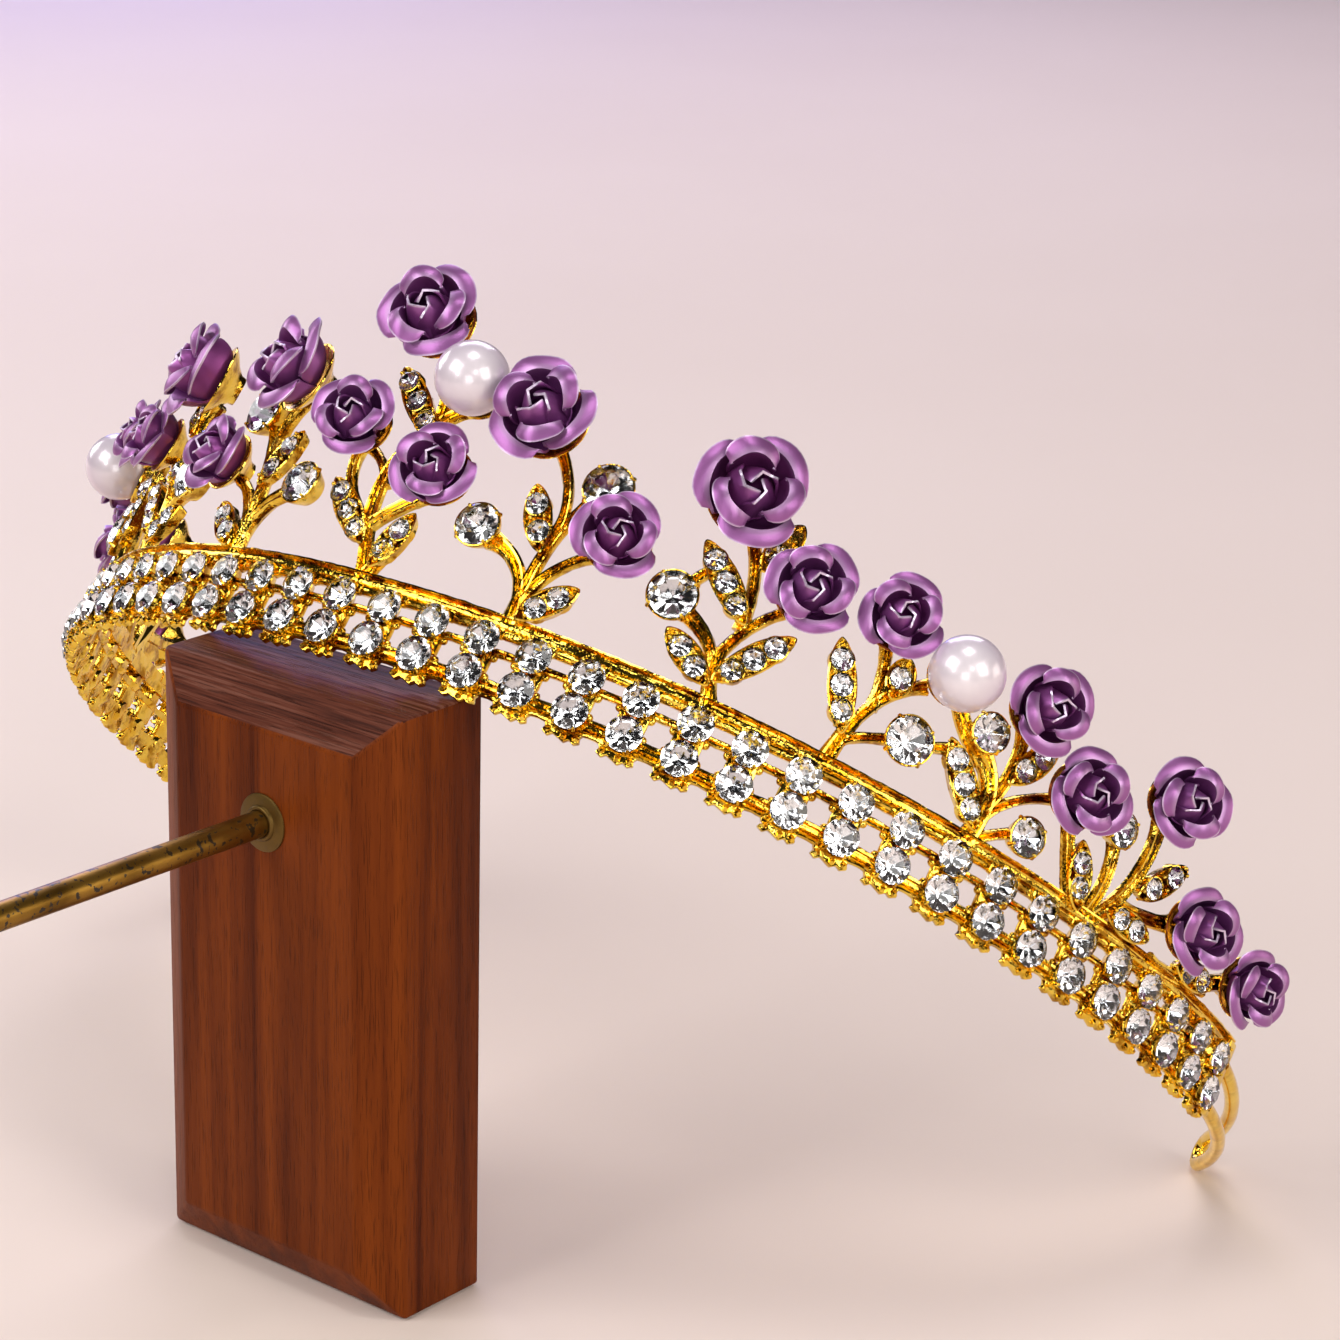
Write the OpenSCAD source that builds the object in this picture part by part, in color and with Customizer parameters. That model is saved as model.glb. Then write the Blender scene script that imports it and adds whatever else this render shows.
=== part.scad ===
// Bridal crown: a cast gilt band with two rows of clear stones, sprays of stems and leaves
// with metal roses and pearls, leaning over a plain wooden block that has a brass rod.
// All sizes are in millimetres. Z is up, the block's foot is centred on the origin
// and the rod points to -Y.

/* [Display block] */
// Width of the block
block_w = 35.2; // [33:0.1:36]
// Thickness of the block, rod side to crown side
block_t = 14.3; // [13:0.1:15]
// Height of the block, up to the edge that carries the band
block_h = 67.3; // [60:0.1:67.3]
// Width of the sloping border round the front face
border_w = 4.7; // [3:0.1:6]
// How far the sloping border falls back from the front face
border_d = 2.9; // [1:0.1:4]
// Height of the rod above the foot
rod_h = 52.6; // [40:0.1:54]
// Diameter of the rod
rod_d = 2.9; // [2:0.1:4]
// Length of the rod that stands out of the front face
rod_l = 62; // [40:1:80]

/* [Band] */
// Radius of the band at the middle between its two rows
band_r = 75.2; // [72:0.1:78]
// Stones in each row, an odd number
row_stones = 41; // [39:2:43]
// Distance from stone to stone along the band
pitch = 6; // [5.9:0.05:6.1]
// Height of each row above or below the middle of the band
row_h = 2.05; // [2.05:0.05:2.2]
// Diameter of a band stone
band_stone_d = 3.86; // [3.6:0.02:3.9]
// How far the band leans in for each millimetre of height
band_in = 0.1; // [0:0.01:0.15]
// How far the sprays lean out for each millimetre of height
spray_out = 0.06; // [0:0.01:0.1]
// Length of the plain loop at each end, along the band
loop_l = 27.2; // [20:0.1:30]
// How far the tip of an end loop curves inwards
loop_in = 9.7; // [5:0.1:12]

/* [Stones and pearls] */
// Diameter of a leaf stone
leaf_stone_d = 2.4; // [2.2:0.05:2.4]
// Diameter of a pearl
pearl_d = 8; // [7:0.1:8.5]

/* [Pose] */
// Lean of the crown back from upright, in degrees
crown_lean = 41.2; // [41:0.1:41.4]
// Turn of the crown on the block, in degrees
crown_turn = 2.7; // [0:0.1:5]

/* [Hidden] */
crown_pos = [-3.4, 60.7, 23.11];
fold_h = 4;
seat_gap = 0.08;
deg_per_mm = 180 / (PI * band_r);
band_stone_r = band_stone_d / 2;
leaf_stone_r = leaf_stone_d / 2;
pearl_r = pearl_d / 2;
last_u = (row_stones - 1) / 2 * pitch;
end_u = last_u + 3.2;
$fn = 48;

// Places on the crown: u runs along the band from its middle, positive to the right arm,
// h is the height above the middle of the band and d is a diameter.
// turn swings a rose sideways and spin turns its petals, both in degrees.
// Columns: u, h, d, turn, spin
ROSES = [
    [-2.6, 33.4, 11.4, 12, 63], [-7.2, 20.6, 9.5, 20, 41], [5.7, 17.0, 9.7, 12, 95],
    [15.2, 25.9, 11.9, 0, 114], [26.9, 16.1, 9.7, 12, 65], [37.0, 25.6, 12.3, 12, 56],
    [46.8, 19.0, 10.0, 0, 57], [56.0, 20.6, 9.3, -5, 81], [73.1, 19.8, 10.0, 0, 39],
    [81.5, 14.4, 9.8, -8, 108], [93.6, 19.9, 9.7, -20, 11], [103.4, 9.9, 9.6, -15, 3],
    [116.4, 9.1, 9.3, -15, 113],
    [-17.4, 25.2, 12.0, -12, 33], [-25.3, 14.6, 9.5, 0, 1], [-37.0, 25.5, 12.0, -12, 112],
    [-46.0, 18.4, 9.6, 0, 63], [-55.5, 20.6, 9.5, 5, 30], [-73.1, 19.8, 10.0, 0, 80],
    [-81.5, 14.4, 9.8, 8, 12], [-93.6, 19.9, 9.7, 20, 109], [-103.4, 9.9, 9.6, 15, 117],
    [-116.4, 9.1, 9.3, 15, 7],
];
CENTRE_ROSES = 3;
SIDE_ROSES = 10;
// Columns: u, h
PEARLS = [[6.5, 27.1], [63.7, 18.3], [-63.5, 18.1]];
// Big stones of the right arm, which the left arm mirrors. Columns: u, h, d
BIG_STONES = [
    [12.2, 13.2, 4.7], [23.8, 21.2, 5.2], [34.4, 13.3, 5.1], [62.2, 10.3, 5.0],
    [69.6, 15.2, 4.0], [78.3, 7.8, 4.0], [88.4, 14.2, 3.7],
];
// Leaves: a row of small stones from the first to the last place, on a pointed plate.
// Columns: u and h of the first stone, u and h of the last stone, number of stones
CENTRE_LEAVES = [
    [-2.1, 9.6, -6.3, 13.2, 3], [2.5, 8.0, 3.4, 10.5, 2], [0.6, 22.8, -3.8, 26.8, 3],
];
SIDE_LEAVES = [
    [18.6, 14.7, 17.2, 17.4, 2], [21.8, 6.9, 23.6, 8.7, 2], [39.4, 7.5, 37.2, 8.9, 2],
    [40.6, 15.1, 36.8, 18.6, 3], [43.0, 8.7, 46.1, 12.7, 3], [42.2, 21.6, 42.8, 23.4, 1],
    [54.7, 9.9, 52.6, 14.7, 3], [58.8, 15.7, 58.8, 15.7, 1], [71.3, 7.3, 67.8, 11.2, 3],
    [75.1, 13.8, 76.4, 16.0, 2], [86.9, 6.5, 85.9, 8.9, 2], [96.1, 11.2, 98.3, 13.7, 2],
    [93.8, 6.4, 96.5, 6.4, 2], [107.0, 6.6, 110.0, 6.9, 2],
];
// Stems: a curve from a start past a pull point to an end, tapering from w0 to w1.
// rose is the rose that the end carries, counted on one arm, or -1.
// Columns: start u, h, pull u, h, end u, h, w0, w1, rose
CENTRE_STEMS = [
    [1.0, 4.6, -0.6, 8.0, -1.5, 11.2, 2.0, 1.6, -1], [-1.4, 10.4, -7.8, 14.0, -6.9, 18.8, 1.5, 1.2, -1],
    [-1.5, 15.0, -2.4, 17.6, -5.6, 18.9, 1.2, 1.2, -1], [-1.5, 10.4, -3.4, 18.5, 1.6, 22.4, 1.8, 1.8, -1],
    [1.2, 22.0, 2.6, 24.2, 4.8, 25.4, 1.8, 1.6, -1], [1.6, 22.0, 2.2, 27.0, -1.6, 31.6, 1.8, 1.8, -1],
    [-1.2, 10.4, 1.4, 13.2, 4.6, 15.4, 1.6, 2.0, -1], [1.0, 4.8, 2.0, 6.5, 2.6, 8.4, 1.8, 1.6, -1],
];
SIDE_STEMS = [
    [19.6, 4.6, 19.6, 11.6, 13.6, 12.6, 1.4, 2.0, -1], [19.6, 4.6, 18.8, 14.0, 22.4, 20.0, 1.8, 1.2, -1],
    [19.4, 7.0, 21.3, 12.6, 26.0, 14.8, 1.5, 1.3, 1], [20.2, 15.6, 20.4, 20.5, 16.2, 24.4, 1.2, 1.4, 0],
    [42.2, 4.6, 41.2, 7.0, 40.8, 10.0, 2.0, 1.6, -1], [40.9, 8.8, 39.2, 11.6, 35.8, 12.6, 1.4, 2.0, -1],
    [40.8, 8.8, 42.0, 14.0, 46.2, 17.4, 1.5, 1.3, 3], [42.0, 13.0, 42.0, 18.5, 38.6, 23.6, 1.5, 1.6, 2],
    [35.2, 15.0, 36.0, 16.8, 37.2, 18.0, 1.4, 1.4, -1], [55.4, 4.6, 56.2, 13.4, 61.8, 16.4, 1.8, 1.5, -1],
    [57.4, 11.6, 57.6, 15.0, 56.0, 18.8, 1.4, 1.5, 4], [56.2, 7.6, 58.2, 8.9, 60.8, 9.8, 1.3, 1.3, -1],
    [72.6, 4.6, 74.2, 10.5, 70.2, 13.2, 2.0, 2.4, -1], [70.6, 12.8, 67.4, 14.0, 65.6, 16.8, 2.4, 1.8, -1],
    [72.9, 8.6, 75.0, 12.6, 73.4, 17.8, 1.6, 1.6, 5], [73.0, 7.2, 75.0, 11.0, 79.6, 13.0, 1.4, 1.2, 6],
    [73.0, 4.7, 75.6, 7.0, 77.4, 7.7, 1.4, 1.4, -1], [64.0, 10.6, 65.4, 11.4, 67.0, 12.0, 1.4, 1.4, -1],
    [87.4, 4.6, 84.6, 8.0, 82.6, 12.4, 2.0, 1.6, 6], [89.6, 4.6, 91.0, 10.0, 88.8, 13.4, 1.6, 1.6, -1],
    [90.6, 4.7, 95.6, 11.0, 93.6, 17.8, 1.8, 1.8, 7], [93.0, 7.6, 98.0, 8.0, 102.0, 9.8, 1.8, 2.0, 8],
    [101.0, 4.9, 106.0, 4.9, 112.0, 6.9, 1.8, 2.0, -1], [111.0, 6.7, 113.0, 8.0, 115.8, 9.0, 2.0, 2.2, 9],
];
// Sprays of one arm, each a flat casting on the top rail.
// Columns: middle u, first and last stem, first and last leaf, big stones, roses, pearl
SIDE_SPRAYS = [
    [19.6, [0, 3], [0, 1], [0, 1], [0, 1], -1],
    [41.0, [4, 8], [2, 5], [2, 2], [2, 3], -1],
    [57.6, [9, 11], [6, 7], [3, 3], [4, 4], 0],
    [73.0, [12, 17], [8, 9], [4, 5], [5, 6], -1],
    [89.0, [18, 20], [10, 11], [6, 6], [7, 7], -1],
    [98.0, [21, 21], [12, 12], [7, 6], [8, 8], -1],
    [112.0, [22, 23], [13, 13], [7, 6], [9, 9], -1],
];

SIDES = [1, -1];
SIDE_NAMES = ["right", "left"];
BIG_COUNT = len(BIG_STONES);

// Radius of the crown's wall at a height
function wall_r(h) = band_r - band_in * min(h, fold_h) + spray_out * max(h - fold_h, 0);
// A point of the crown from its place on the wall and its distance out of the wall
function wall_pt(u, h, out = 0) =
    let (a = u * deg_per_mm, r = wall_r(h) + out) [r * sin(a), -r * cos(a), h];
// A quadratic curve from a to b, pulled towards c
function curve_pt(a, c, b, t) = (1 - t) * (1 - t) * a + 2 * t * (1 - t) * c + t * t * b;
function unit(v) = v / norm(v);

// Puts things on the crown's wall: x along the band, y up and z out of it
module on_wall(u, h, out = 0, turn = 0, tilt = 0)
    translate(wall_pt(u, h, out)) rotate([90 - tilt, 0, u * deg_per_mm + turn]) children();

// Leans the crown over the block
module seated() translate(crown_pos) rotate([-crown_lean, 0, crown_turn]) children();

// Loft of rings of points into one closed solid
module loft(rings) {
    n = len(rings[0]);
    m = len(rings);
    polyhedron(
        points = [for (ring = rings, p = ring) p],
        faces = concat(
            [[for (k = [0:n - 1]) k]],
            [[for (k = [n - 1:-1:0]) (m - 1) * n + k]],
            [for (j = [0:m - 2], k = [0:n - 1]) each
                let (a = j * n + k, b = j * n + (k + 1) % n)
                [[a, b + n, b], [a, a + n, b + n]]]
        )
    );
}

// A cut stone, table up, with its girdle at z = 0
module cut_stone(r) {
    table = [for (k = [0:7]) r * 0.56 * [cos(45 * k), sin(45 * k)]];
    girdle = [for (k = [0:7]) r * [cos(45 * k + 22.5), sin(45 * k + 22.5)]];
    polyhedron(
        points = concat(
            [for (p = table) [p.x, p.y, r * 0.32]], [for (p = girdle) [p.x, p.y, 0]], [[0, 0, -0.78 * r]]
        ),
        faces = concat(
            [[for (k = [7:-1:0]) k]],
            [for (k = [0:7]) [k, (k + 1) % 8, 8 + k]],
            [for (k = [0:7]) [8 + k, (k + 1) % 8, 8 + (k + 1) % 8]],
            [for (k = [0:7]) [8 + k, 8 + (k + 1) % 8, 16]]
        )
    );
}

// The seat that a stone lies in, a cone that is open to the front
module stone_seat(r) rotate_extrude() polygon([
    [0, -0.78 * r - 0.2], [0.3, -0.78 * r - 0.2], [r + seat_gap, 0], [r + seat_gap, 1.5], [0, 1.5],
]);

// Display block

module display_block() color("saddlebrown") difference() {
    translate([-block_w / 2, -block_t / 2, 0]) cube([block_w, block_t, block_h]);
    for (a = [0, 180]) translate([0, -block_t / 2, block_h / 2]) rotate([0, a, 0])
        translate([0, 0, block_h / 2]) rotate([0, 90, 0]) border_cut(block_w + 2);
    for (a = [90, -90]) translate([0, -block_t / 2, block_h / 2]) rotate([0, a, 0])
        translate([0, 0, block_w / 2]) rotate([0, 90, 0]) border_cut(block_h + 2);
    translate([0, -block_t / 2 - 1, rod_h]) rotate([-90, 0, 0]) cylinder(h = grommet_depth + 1, d = grommet_d + 0.1);
}
grommet_d = 5;
grommet_depth = 8;
grommet_lip_d = 6.4;
grommet_lip = 0.5;

// The wedge that the sloping border leaves out along one edge
module border_cut(l) translate([0, 0, -l / 2]) linear_extrude(l)
    polygon([[-1, -1], [border_w + 1 * border_w / border_d, -1], [0, border_d], [-1, border_d]]);

module block_grommet() color("darkkhaki") translate([0, -block_t / 2, rod_h]) rotate([-90, 0, 0])
    rotate_extrude() polygon([
        [rod_d / 2 + 0.05, -grommet_lip], [grommet_lip_d / 2 - 0.3, -grommet_lip], [grommet_lip_d / 2, -0.05],
        [grommet_d / 2, -0.05], [grommet_d / 2, grommet_depth - 0.05], [rod_d / 2 + 0.05, grommet_depth - 0.05],
    ]);

module support_rod() color("darkgoldenrod") translate([0, -block_t / 2, rod_h]) rotate([90, 0, 0])
    rotate_extrude() polygon([
        [0, 0.1 - grommet_depth], [rod_d / 2, 0.1 - grommet_depth], [rod_d / 2, rod_l - 0.6],
        [rod_d / 2 - 0.6, rod_l], [0, rod_l],
    ]);

// Band

// Outlines of the rails. Columns of each corner: distance from the wall, h
RAILS = [
    [[-0.8, 3.8], [0.1, 3.8], [0.35, 4.1], [0.1, 4.4], [0.5, 4.6], [0.7, 5], [0.5, 5.3], [-0.8, 5.3]],
    [[-0.85, 2.75], [-0.02, 2.75], [0.15, 3.2], [0.06, 3.93], [-0.85, 3.93]],
    [[-0.8, 0.8], [0.05, 0.8], [0.25, 1.25], [0.05, 1.7], [-0.8, 1.7]],
    [[-0.8, -3.25], [0, -3.25], [0.2, -3], [-0.1, -2.65], [0.2, -2.3], [0, -2.05], [-0.8, -2.05]],
    [[-0.75, -3.72], [-0.15, -3.72], [-0.06, -3.12], [-0.75, -3.12]],
];
cup_r = 2.2;
cup_back = -1;
cup_front = 0.55;
band_seat = 0.95;
tooth_back = -0.7;
tooth_t = 1;
tooth_outline = [
    [-1.7, -1], [-1.9, -2.3], [-1.1, -1.9], [0, -2.4], [1.1, -1.9], [1.9, -2.3], [1.7, -1],
];
loop_wire_r = 0.85;
loop_tip_wire_r = 0.95;
loop_tip_r = 1.6;
loop_tip_h = -2.1;
// Limbs of an end loop. Columns: h where the limb starts, h where it meets the tip
LOOP_LIMBS = [[2.2, loop_tip_h + loop_tip_r], [-2.9, loop_tip_h - loop_tip_r]];

module rail(outline) {
    half_a = end_u * deg_per_mm;
    rotate([0, 0, -90 - half_a]) rotate_extrude(angle = 2 * half_a)
        polygon([for (p = outline) [wall_r(p[1]) + p[0], p[1]]]);
}

// The plain loop that ends an arm of the band, bent inwards from one wire
module end_loop() {
    bend_r = (loop_l * loop_l + loop_in * loop_in) / (2 * loop_in);
    tip_x = loop_l - loop_tip_r - loop_tip_wire_r;
    sweep = asin(tip_x / bend_r);
    on_wall(end_u, 0, -0.2) {
        for (limb = LOOP_LIMBS) translate([0, limb[0], 0]) rotate([0, 0, asin((limb[1] - limb[0]) / tip_x)])
            translate([0, 0, -bend_r]) rotate([-90, -90, 0]) rotate_extrude(angle = sweep + 0.3)
                translate([bend_r, 0]) circle(r = loop_wire_r, $fn = 8);
        translate([tip_x, loop_tip_h, bend_r * (cos(sweep) - 1)]) rotate([0, sweep, 0]) rotate([0, 0, -90])
            rotate_extrude(angle = 180) translate([loop_tip_r, 0]) circle(r = loop_tip_wire_r, $fn = 8);
    }
}

// Rails, cups and end loops, still without the seats
module band_body() {
    for (outline = RAILS) rail(outline);
    for (u = [-last_u:pitch:last_u]) {
        for (h = [-row_h, row_h]) on_wall(u, h, cup_back) cylinder(h = cup_front - cup_back, r = cup_r, $fn = 10);
        on_wall(u, -row_h, tooth_back) linear_extrude(tooth_t) polygon(tooth_outline);
    }
    for (side = SIDES) mirror([side < 0 ? 1 : 0, 0, 0]) {
        on_wall(end_u - 0.8, 0, -1.1) translate([-1, -4, 0]) cube([2.2, 8.9, 1.6]);
        end_loop();
    }
}

module row_stones_at(h) color("aliceblue") seated()
    for (u = [-last_u:pitch:last_u]) on_wall(u, h, band_seat) cut_stone(band_stone_r);

// Sprays

stem_back = -0.9;
stem_t = 1.4;
leaf_back = -0.8;
leaf_t = 1.65;
leaf_w = 3.2;
leaf_seat = 0.9;
big_seat = 1.4;
rose_foot = 1.1;
pearl_foot = 0.5;

function flip(p, side) = [side * p[0], p[1]];
function side_rose(k, side) = ROSES[CENTRE_ROSES + k + (side > 0 ? 0 : SIDE_ROSES)];
// How far a rose of the left arm lies from the mirror image of the right arm's
function rose_shift(k, side) = k < 0 || side > 0 ? [0, 0]
    : let (left = side_rose(k, -1), right = side_rose(k, 1)) [left[0] + right[0], left[1] - right[1]];

// Outline of a tapering stem, drawn about the middle of its spray
function stem_outline(row, side, mid_u) =
    let (
        shift = rose_shift(row[8], side),
        a = flip([row[0], row[1]], side),
        c = flip([row[2], row[3]], side) + shift / 2,
        b = flip([row[4], row[5]], side) + shift,
        steps = 7,
        line = [for (k = [0:steps]) curve_pt(a, c, b, k / steps)],
        edge = [for (k = [0:steps])
            let (
                dir = unit(line[min(k + 1, steps)] - line[max(k - 1, 0)]),
                half_w = (row[6] + (row[7] - row[6]) * k / steps) / 2
            )
            half_w * [-dir.y, dir.x]]
    )
    [for (k = [0:2 * steps + 1]) (k <= steps ? line[k] + edge[k] : line[2 * steps + 1 - k] - edge[2 * steps + 1 - k])
        - [mid_u, fold_h]];

// A pointed leaf plate under a row of stones
module leaf_plate(row, side) {
    first = flip([row[0], row[1]], side);
    last = flip([row[2], row[3]], side);
    mid = (first + last) / 2;
    span = norm(last - first);
    dir = span > 0 ? atan2(last.y - first.y, last.x - first.x) : 90;
    half_l = span / 2 + 2.5;
    points = [for (x = [-1:0.25:1]) [x * half_l, leaf_w / 2 * sqrt(1 - x * x)]];
    on_wall(mid.x, mid.y, leaf_back) rotate([0, 0, dir]) linear_extrude(leaf_t)
        polygon(concat(points, [for (k = [len(points) - 2:-1:1]) [points[k].x, -points[k].y]]));
}

function leaf_places(row, side) = [for (k = [0:row[4] - 1])
    let (t = row[4] > 1 ? k / (row[4] - 1) : 0)
    flip([row[0], row[1]] * (1 - t) + [row[2], row[3]] * t, side)];

// The dish that a rose sits in, on a stalk as deep as the stems
module rose_cup(row) on_wall(row[0], row[1], 0, row[3]) rotate_extrude() polygon([
    [0, -0.9], [row[2] * 0.18, -0.9], [row[2] * 0.26, rose_foot - 0.6], [row[2] * 0.4, rose_foot + 0.8],
    [row[2] * 0.4 - 0.4, rose_foot + 0.8], [row[2] * 0.26 - 0.3, rose_foot - 0.1], [0, rose_foot - 0.1],
]);

module pearl_cup(row) on_wall(row[0], row[1]) rotate_extrude() polygon([
    [0, -0.9], [2, -0.9], [3.2, pearl_foot + 0.9], [2.8, pearl_foot + 0.9], [1.4, pearl_foot - 0.1],
    [0, pearl_foot - 0.1],
]);

module bezel(row) on_wall(row[0], row[1], stem_back) cylinder(h = big_seat - 0.05 - stem_back, r = row[2] / 2 + 0.45);

// One casting of stems, leaves, cups and bezels, still without the seats
module spray_body(side, mid_u, stems, leaves, big, roses, pearls) {
    on_wall(mid_u, fold_h, stem_back, 0, -atan(spray_out)) linear_extrude(stem_t) union() {
        for (row = stems) polygon(stem_outline(row, side, mid_u));
    }
    for (row = leaves) leaf_plate(row, side);
    for (row = big) bezel(row);
    for (row = roses) rose_cup(row);
    for (row = pearls) pearl_cup(row);
}

function slice(rows, ends) = ends[0] > ends[1] ? [] : [for (k = [ends[0]:ends[1]]) rows[k]];
function side_stone(k, side) = [side * BIG_STONES[k][0], BIG_STONES[k][1], BIG_STONES[k][2]];
function leaves_of(side) = side > 0 ? concat(CENTRE_LEAVES, SIDE_LEAVES) : SIDE_LEAVES;

module crown_frame() color("gold") seated() difference() {
    union() {
        band_body();
        spray_body(1, 0, CENTRE_STEMS, CENTRE_LEAVES, [], slice(ROSES, [0, CENTRE_ROSES - 1]), [PEARLS[0]]);
        for (side = SIDES, row = SIDE_SPRAYS) spray_body(
            side, side * row[0], slice(SIDE_STEMS, row[1]), slice(SIDE_LEAVES, row[2]),
            row[3][0] > row[3][1] ? [] : [for (j = [row[3][0]:row[3][1]]) side_stone(j, side)],
            [for (j = [row[4][0]:row[4][1]]) side_rose(j, side)],
            row[5] < 0 ? [] : [PEARLS[side > 0 ? 1 : 2]]
        );
    }
    for (u = [-last_u:pitch:last_u], h = [-row_h, row_h]) on_wall(u, h, band_seat) stone_seat(band_stone_r);
    for (side = SIDES) {
        for (row = leaves_of(side), p = leaf_places(row, side)) on_wall(p.x, p.y, leaf_seat) stone_seat(leaf_stone_r);
        for (row = BIG_STONES) on_wall(side * row[0], row[1], big_seat) stone_seat(row[2] / 2);
    }
}

module leaf_stones() color("aliceblue") seated()
    for (side = SIDES, row = leaves_of(side), p = leaf_places(row, side))
        on_wall(p.x, p.y, leaf_seat) cut_stone(leaf_stone_r);

module big_stone(k, side) color("aliceblue") seated() {
    row = side_stone(k, side);
    on_wall(row[0], row[1], big_seat) cut_stone(row[2] / 2);
}

module pearl(k) color("lavenderblush") seated()
    on_wall(PEARLS[k][0], PEARLS[k][1], pearl_foot + pearl_r) sphere(r = pearl_r);

// Roses

// Rings of a rose from its foot to its bud, for a rose of radius 1.
// Columns: radius, height, number of petals round the ring, depth of the petal lobes, first petal's angle
ROSE_RINGS = [
    [0.3, 0, 3, 0, 0], [0.5, 0.12, 3, 0, 0], [0.82, 0.46, 3, 0.05, 0], [0.95, 0.68, 3, 0.05, 0],
    [0.84, 0.84, 3, 0.05, 0], [0.6, 0.6, 3, 0.05, 60], [0.64, 1.1, 3, 0.08, 60], [0.42, 0.76, 3, 0.08, 60],
    [0.3, 1.26, 3, 0.12, 0], [0.14, 1.08, 3, 0.1, 0],
];
rose_sides = 20;

module rose(k) color("mediumorchid") seated() {
    row = ROSES[k];
    r = row[2] / 2;
    on_wall(row[0], row[1], rose_foot, row[3]) rotate([0, 0, row[4]]) loft([for (ring = ROSE_RINGS)
        [for (j = [0:rose_sides - 1])
            let (a = 360 / rose_sides * j, q = r * ring[0] * (1 + ring[3] * cos(ring[2] * (a - ring[4]))))
            [q * cos(a), q * sin(a), r * ring[1]]]]);
}

display_block();
block_grommet();
support_rod();
crown_frame();
row_stones_at(row_h);  // upper_row_stones
row_stones_at(-row_h);  // lower_row_stones
leaf_stones();
for (k = [1:len(ROSES)])
    rose(k - 1);
for (k = [1:len(PEARLS)])
    pearl(k - 1);
for (s = [0, 1], k = [1:BIG_COUNT])
    big_stone(k - 1, SIDES[s]);
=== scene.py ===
# %% [markdown]
# # A bridal crown that leans over a wooden display block
# The crown is a thin gilt casting with two rows of clear stones, sprays of stems and leaves,
# and metal roses and pearls on top. It leans on a walnut block that a brass rod holds.
# The solids of the same object come in as a fixed frame. Each of them is then replaced
# by a piece with more detail, which stands in the same place.

# %% Load the fixed frame
import math

import bmesh
import bpy
from mathutils import Euler, Matrix, Vector, noise


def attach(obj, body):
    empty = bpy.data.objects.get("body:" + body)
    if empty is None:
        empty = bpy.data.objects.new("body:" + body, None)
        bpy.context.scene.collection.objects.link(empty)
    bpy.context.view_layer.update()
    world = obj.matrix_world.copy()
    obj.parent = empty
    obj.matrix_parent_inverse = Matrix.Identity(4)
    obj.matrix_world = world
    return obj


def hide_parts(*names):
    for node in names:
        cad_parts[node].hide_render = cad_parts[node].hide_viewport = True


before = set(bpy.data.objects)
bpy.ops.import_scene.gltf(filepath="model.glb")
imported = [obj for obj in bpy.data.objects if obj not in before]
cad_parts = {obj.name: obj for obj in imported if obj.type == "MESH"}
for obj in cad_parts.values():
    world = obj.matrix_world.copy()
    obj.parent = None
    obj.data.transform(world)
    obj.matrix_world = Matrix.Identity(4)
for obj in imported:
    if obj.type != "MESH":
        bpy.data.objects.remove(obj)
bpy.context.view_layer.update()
MM = 0.001
print("solids in the frame:", len(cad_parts))

# %% [markdown]
# ## Camera
# The photo was taken with a long lens, a little above the crown and to its right.
# A long lens keeps the block's edges almost parallel. The camera's turn is given by the
# directions of its right, its top and its back, which are the columns of its matrix.

# %% Camera
camera_place = Vector((261.37, -260.30, 189.73)) * MM
camera_right = Vector((0.76872, 0.63919, 0.02265))
camera_back = Vector((0.60159, -0.73462, 0.31373))
camera_up = camera_back.cross(camera_right)
camera_data = bpy.data.cameras.new("photo_camera")
camera_data.lens = 100
camera_data.sensor_width = 36
camera_data.clip_start = 0.01
camera = bpy.data.objects.new("photo_camera", camera_data)
bpy.context.collection.objects.link(camera)
camera_turn = Matrix((camera_right, camera_up, camera_back)).transposed().to_4x4()
camera.matrix_world = Matrix.Translation(camera_place) @ camera_turn
bpy.context.scene.camera = camera
print("camera stands at", [round(c, 3) for c in camera_place], "with a lens of", camera_data.lens, "mm")

# %% [markdown]
# ## Where things are on the crown
# A flat drawing of the crown is easy to read: u runs along the band from its middle and
# h is the height above the middle of the band, both in millimetres. One function bends that
# drawing round the head. The band leans in a little as it rises, and the sprays lean out.
# Most pieces are made lying flat with their face up, and then stamped on the wall with the
# matrix that this function gives, so they need no sums of their own.

# %% The crown's wall
BAND_R = 75.2
BAND_IN = 0.1
SPRAY_OUT = 0.06
FOLD_H = 4
CROWN_LEAN = Euler((math.radians(-41.2), 0, math.radians(2.7)))
CROWN = Matrix.Translation((-3.4, 60.7, 23.11)) @ CROWN_LEAN.to_matrix().to_4x4()
UPRIGHT = Matrix.Rotation(math.radians(90), 4, "X")


def wall_radius(h):
    return BAND_R - BAND_IN * min(h, FOLD_H) + SPRAY_OUT * max(h - FOLD_H, 0)


def on_wall(u, h, out=0.0, swing=0.0):
    """Place on the crown, swung sideways in degrees: x along the band, y up, z out of the wall."""
    angle = u / BAND_R
    reach = wall_radius(h) + out
    place = Matrix.Translation((reach * math.sin(angle), -reach * math.cos(angle), h))
    return CROWN @ place @ Matrix.Rotation(angle + math.radians(swing), 4, "Z") @ UPRIGHT


PITCH = 6.0
ROW_COUNT = 41
ROW_H = 2.05
LAST_U = (ROW_COUNT - 1) / 2 * PITCH
END_U = LAST_U + 3.2
columns = [PITCH * k - LAST_U for k in range(ROW_COUNT)]
print("stones in a row:", len(columns))
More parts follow.
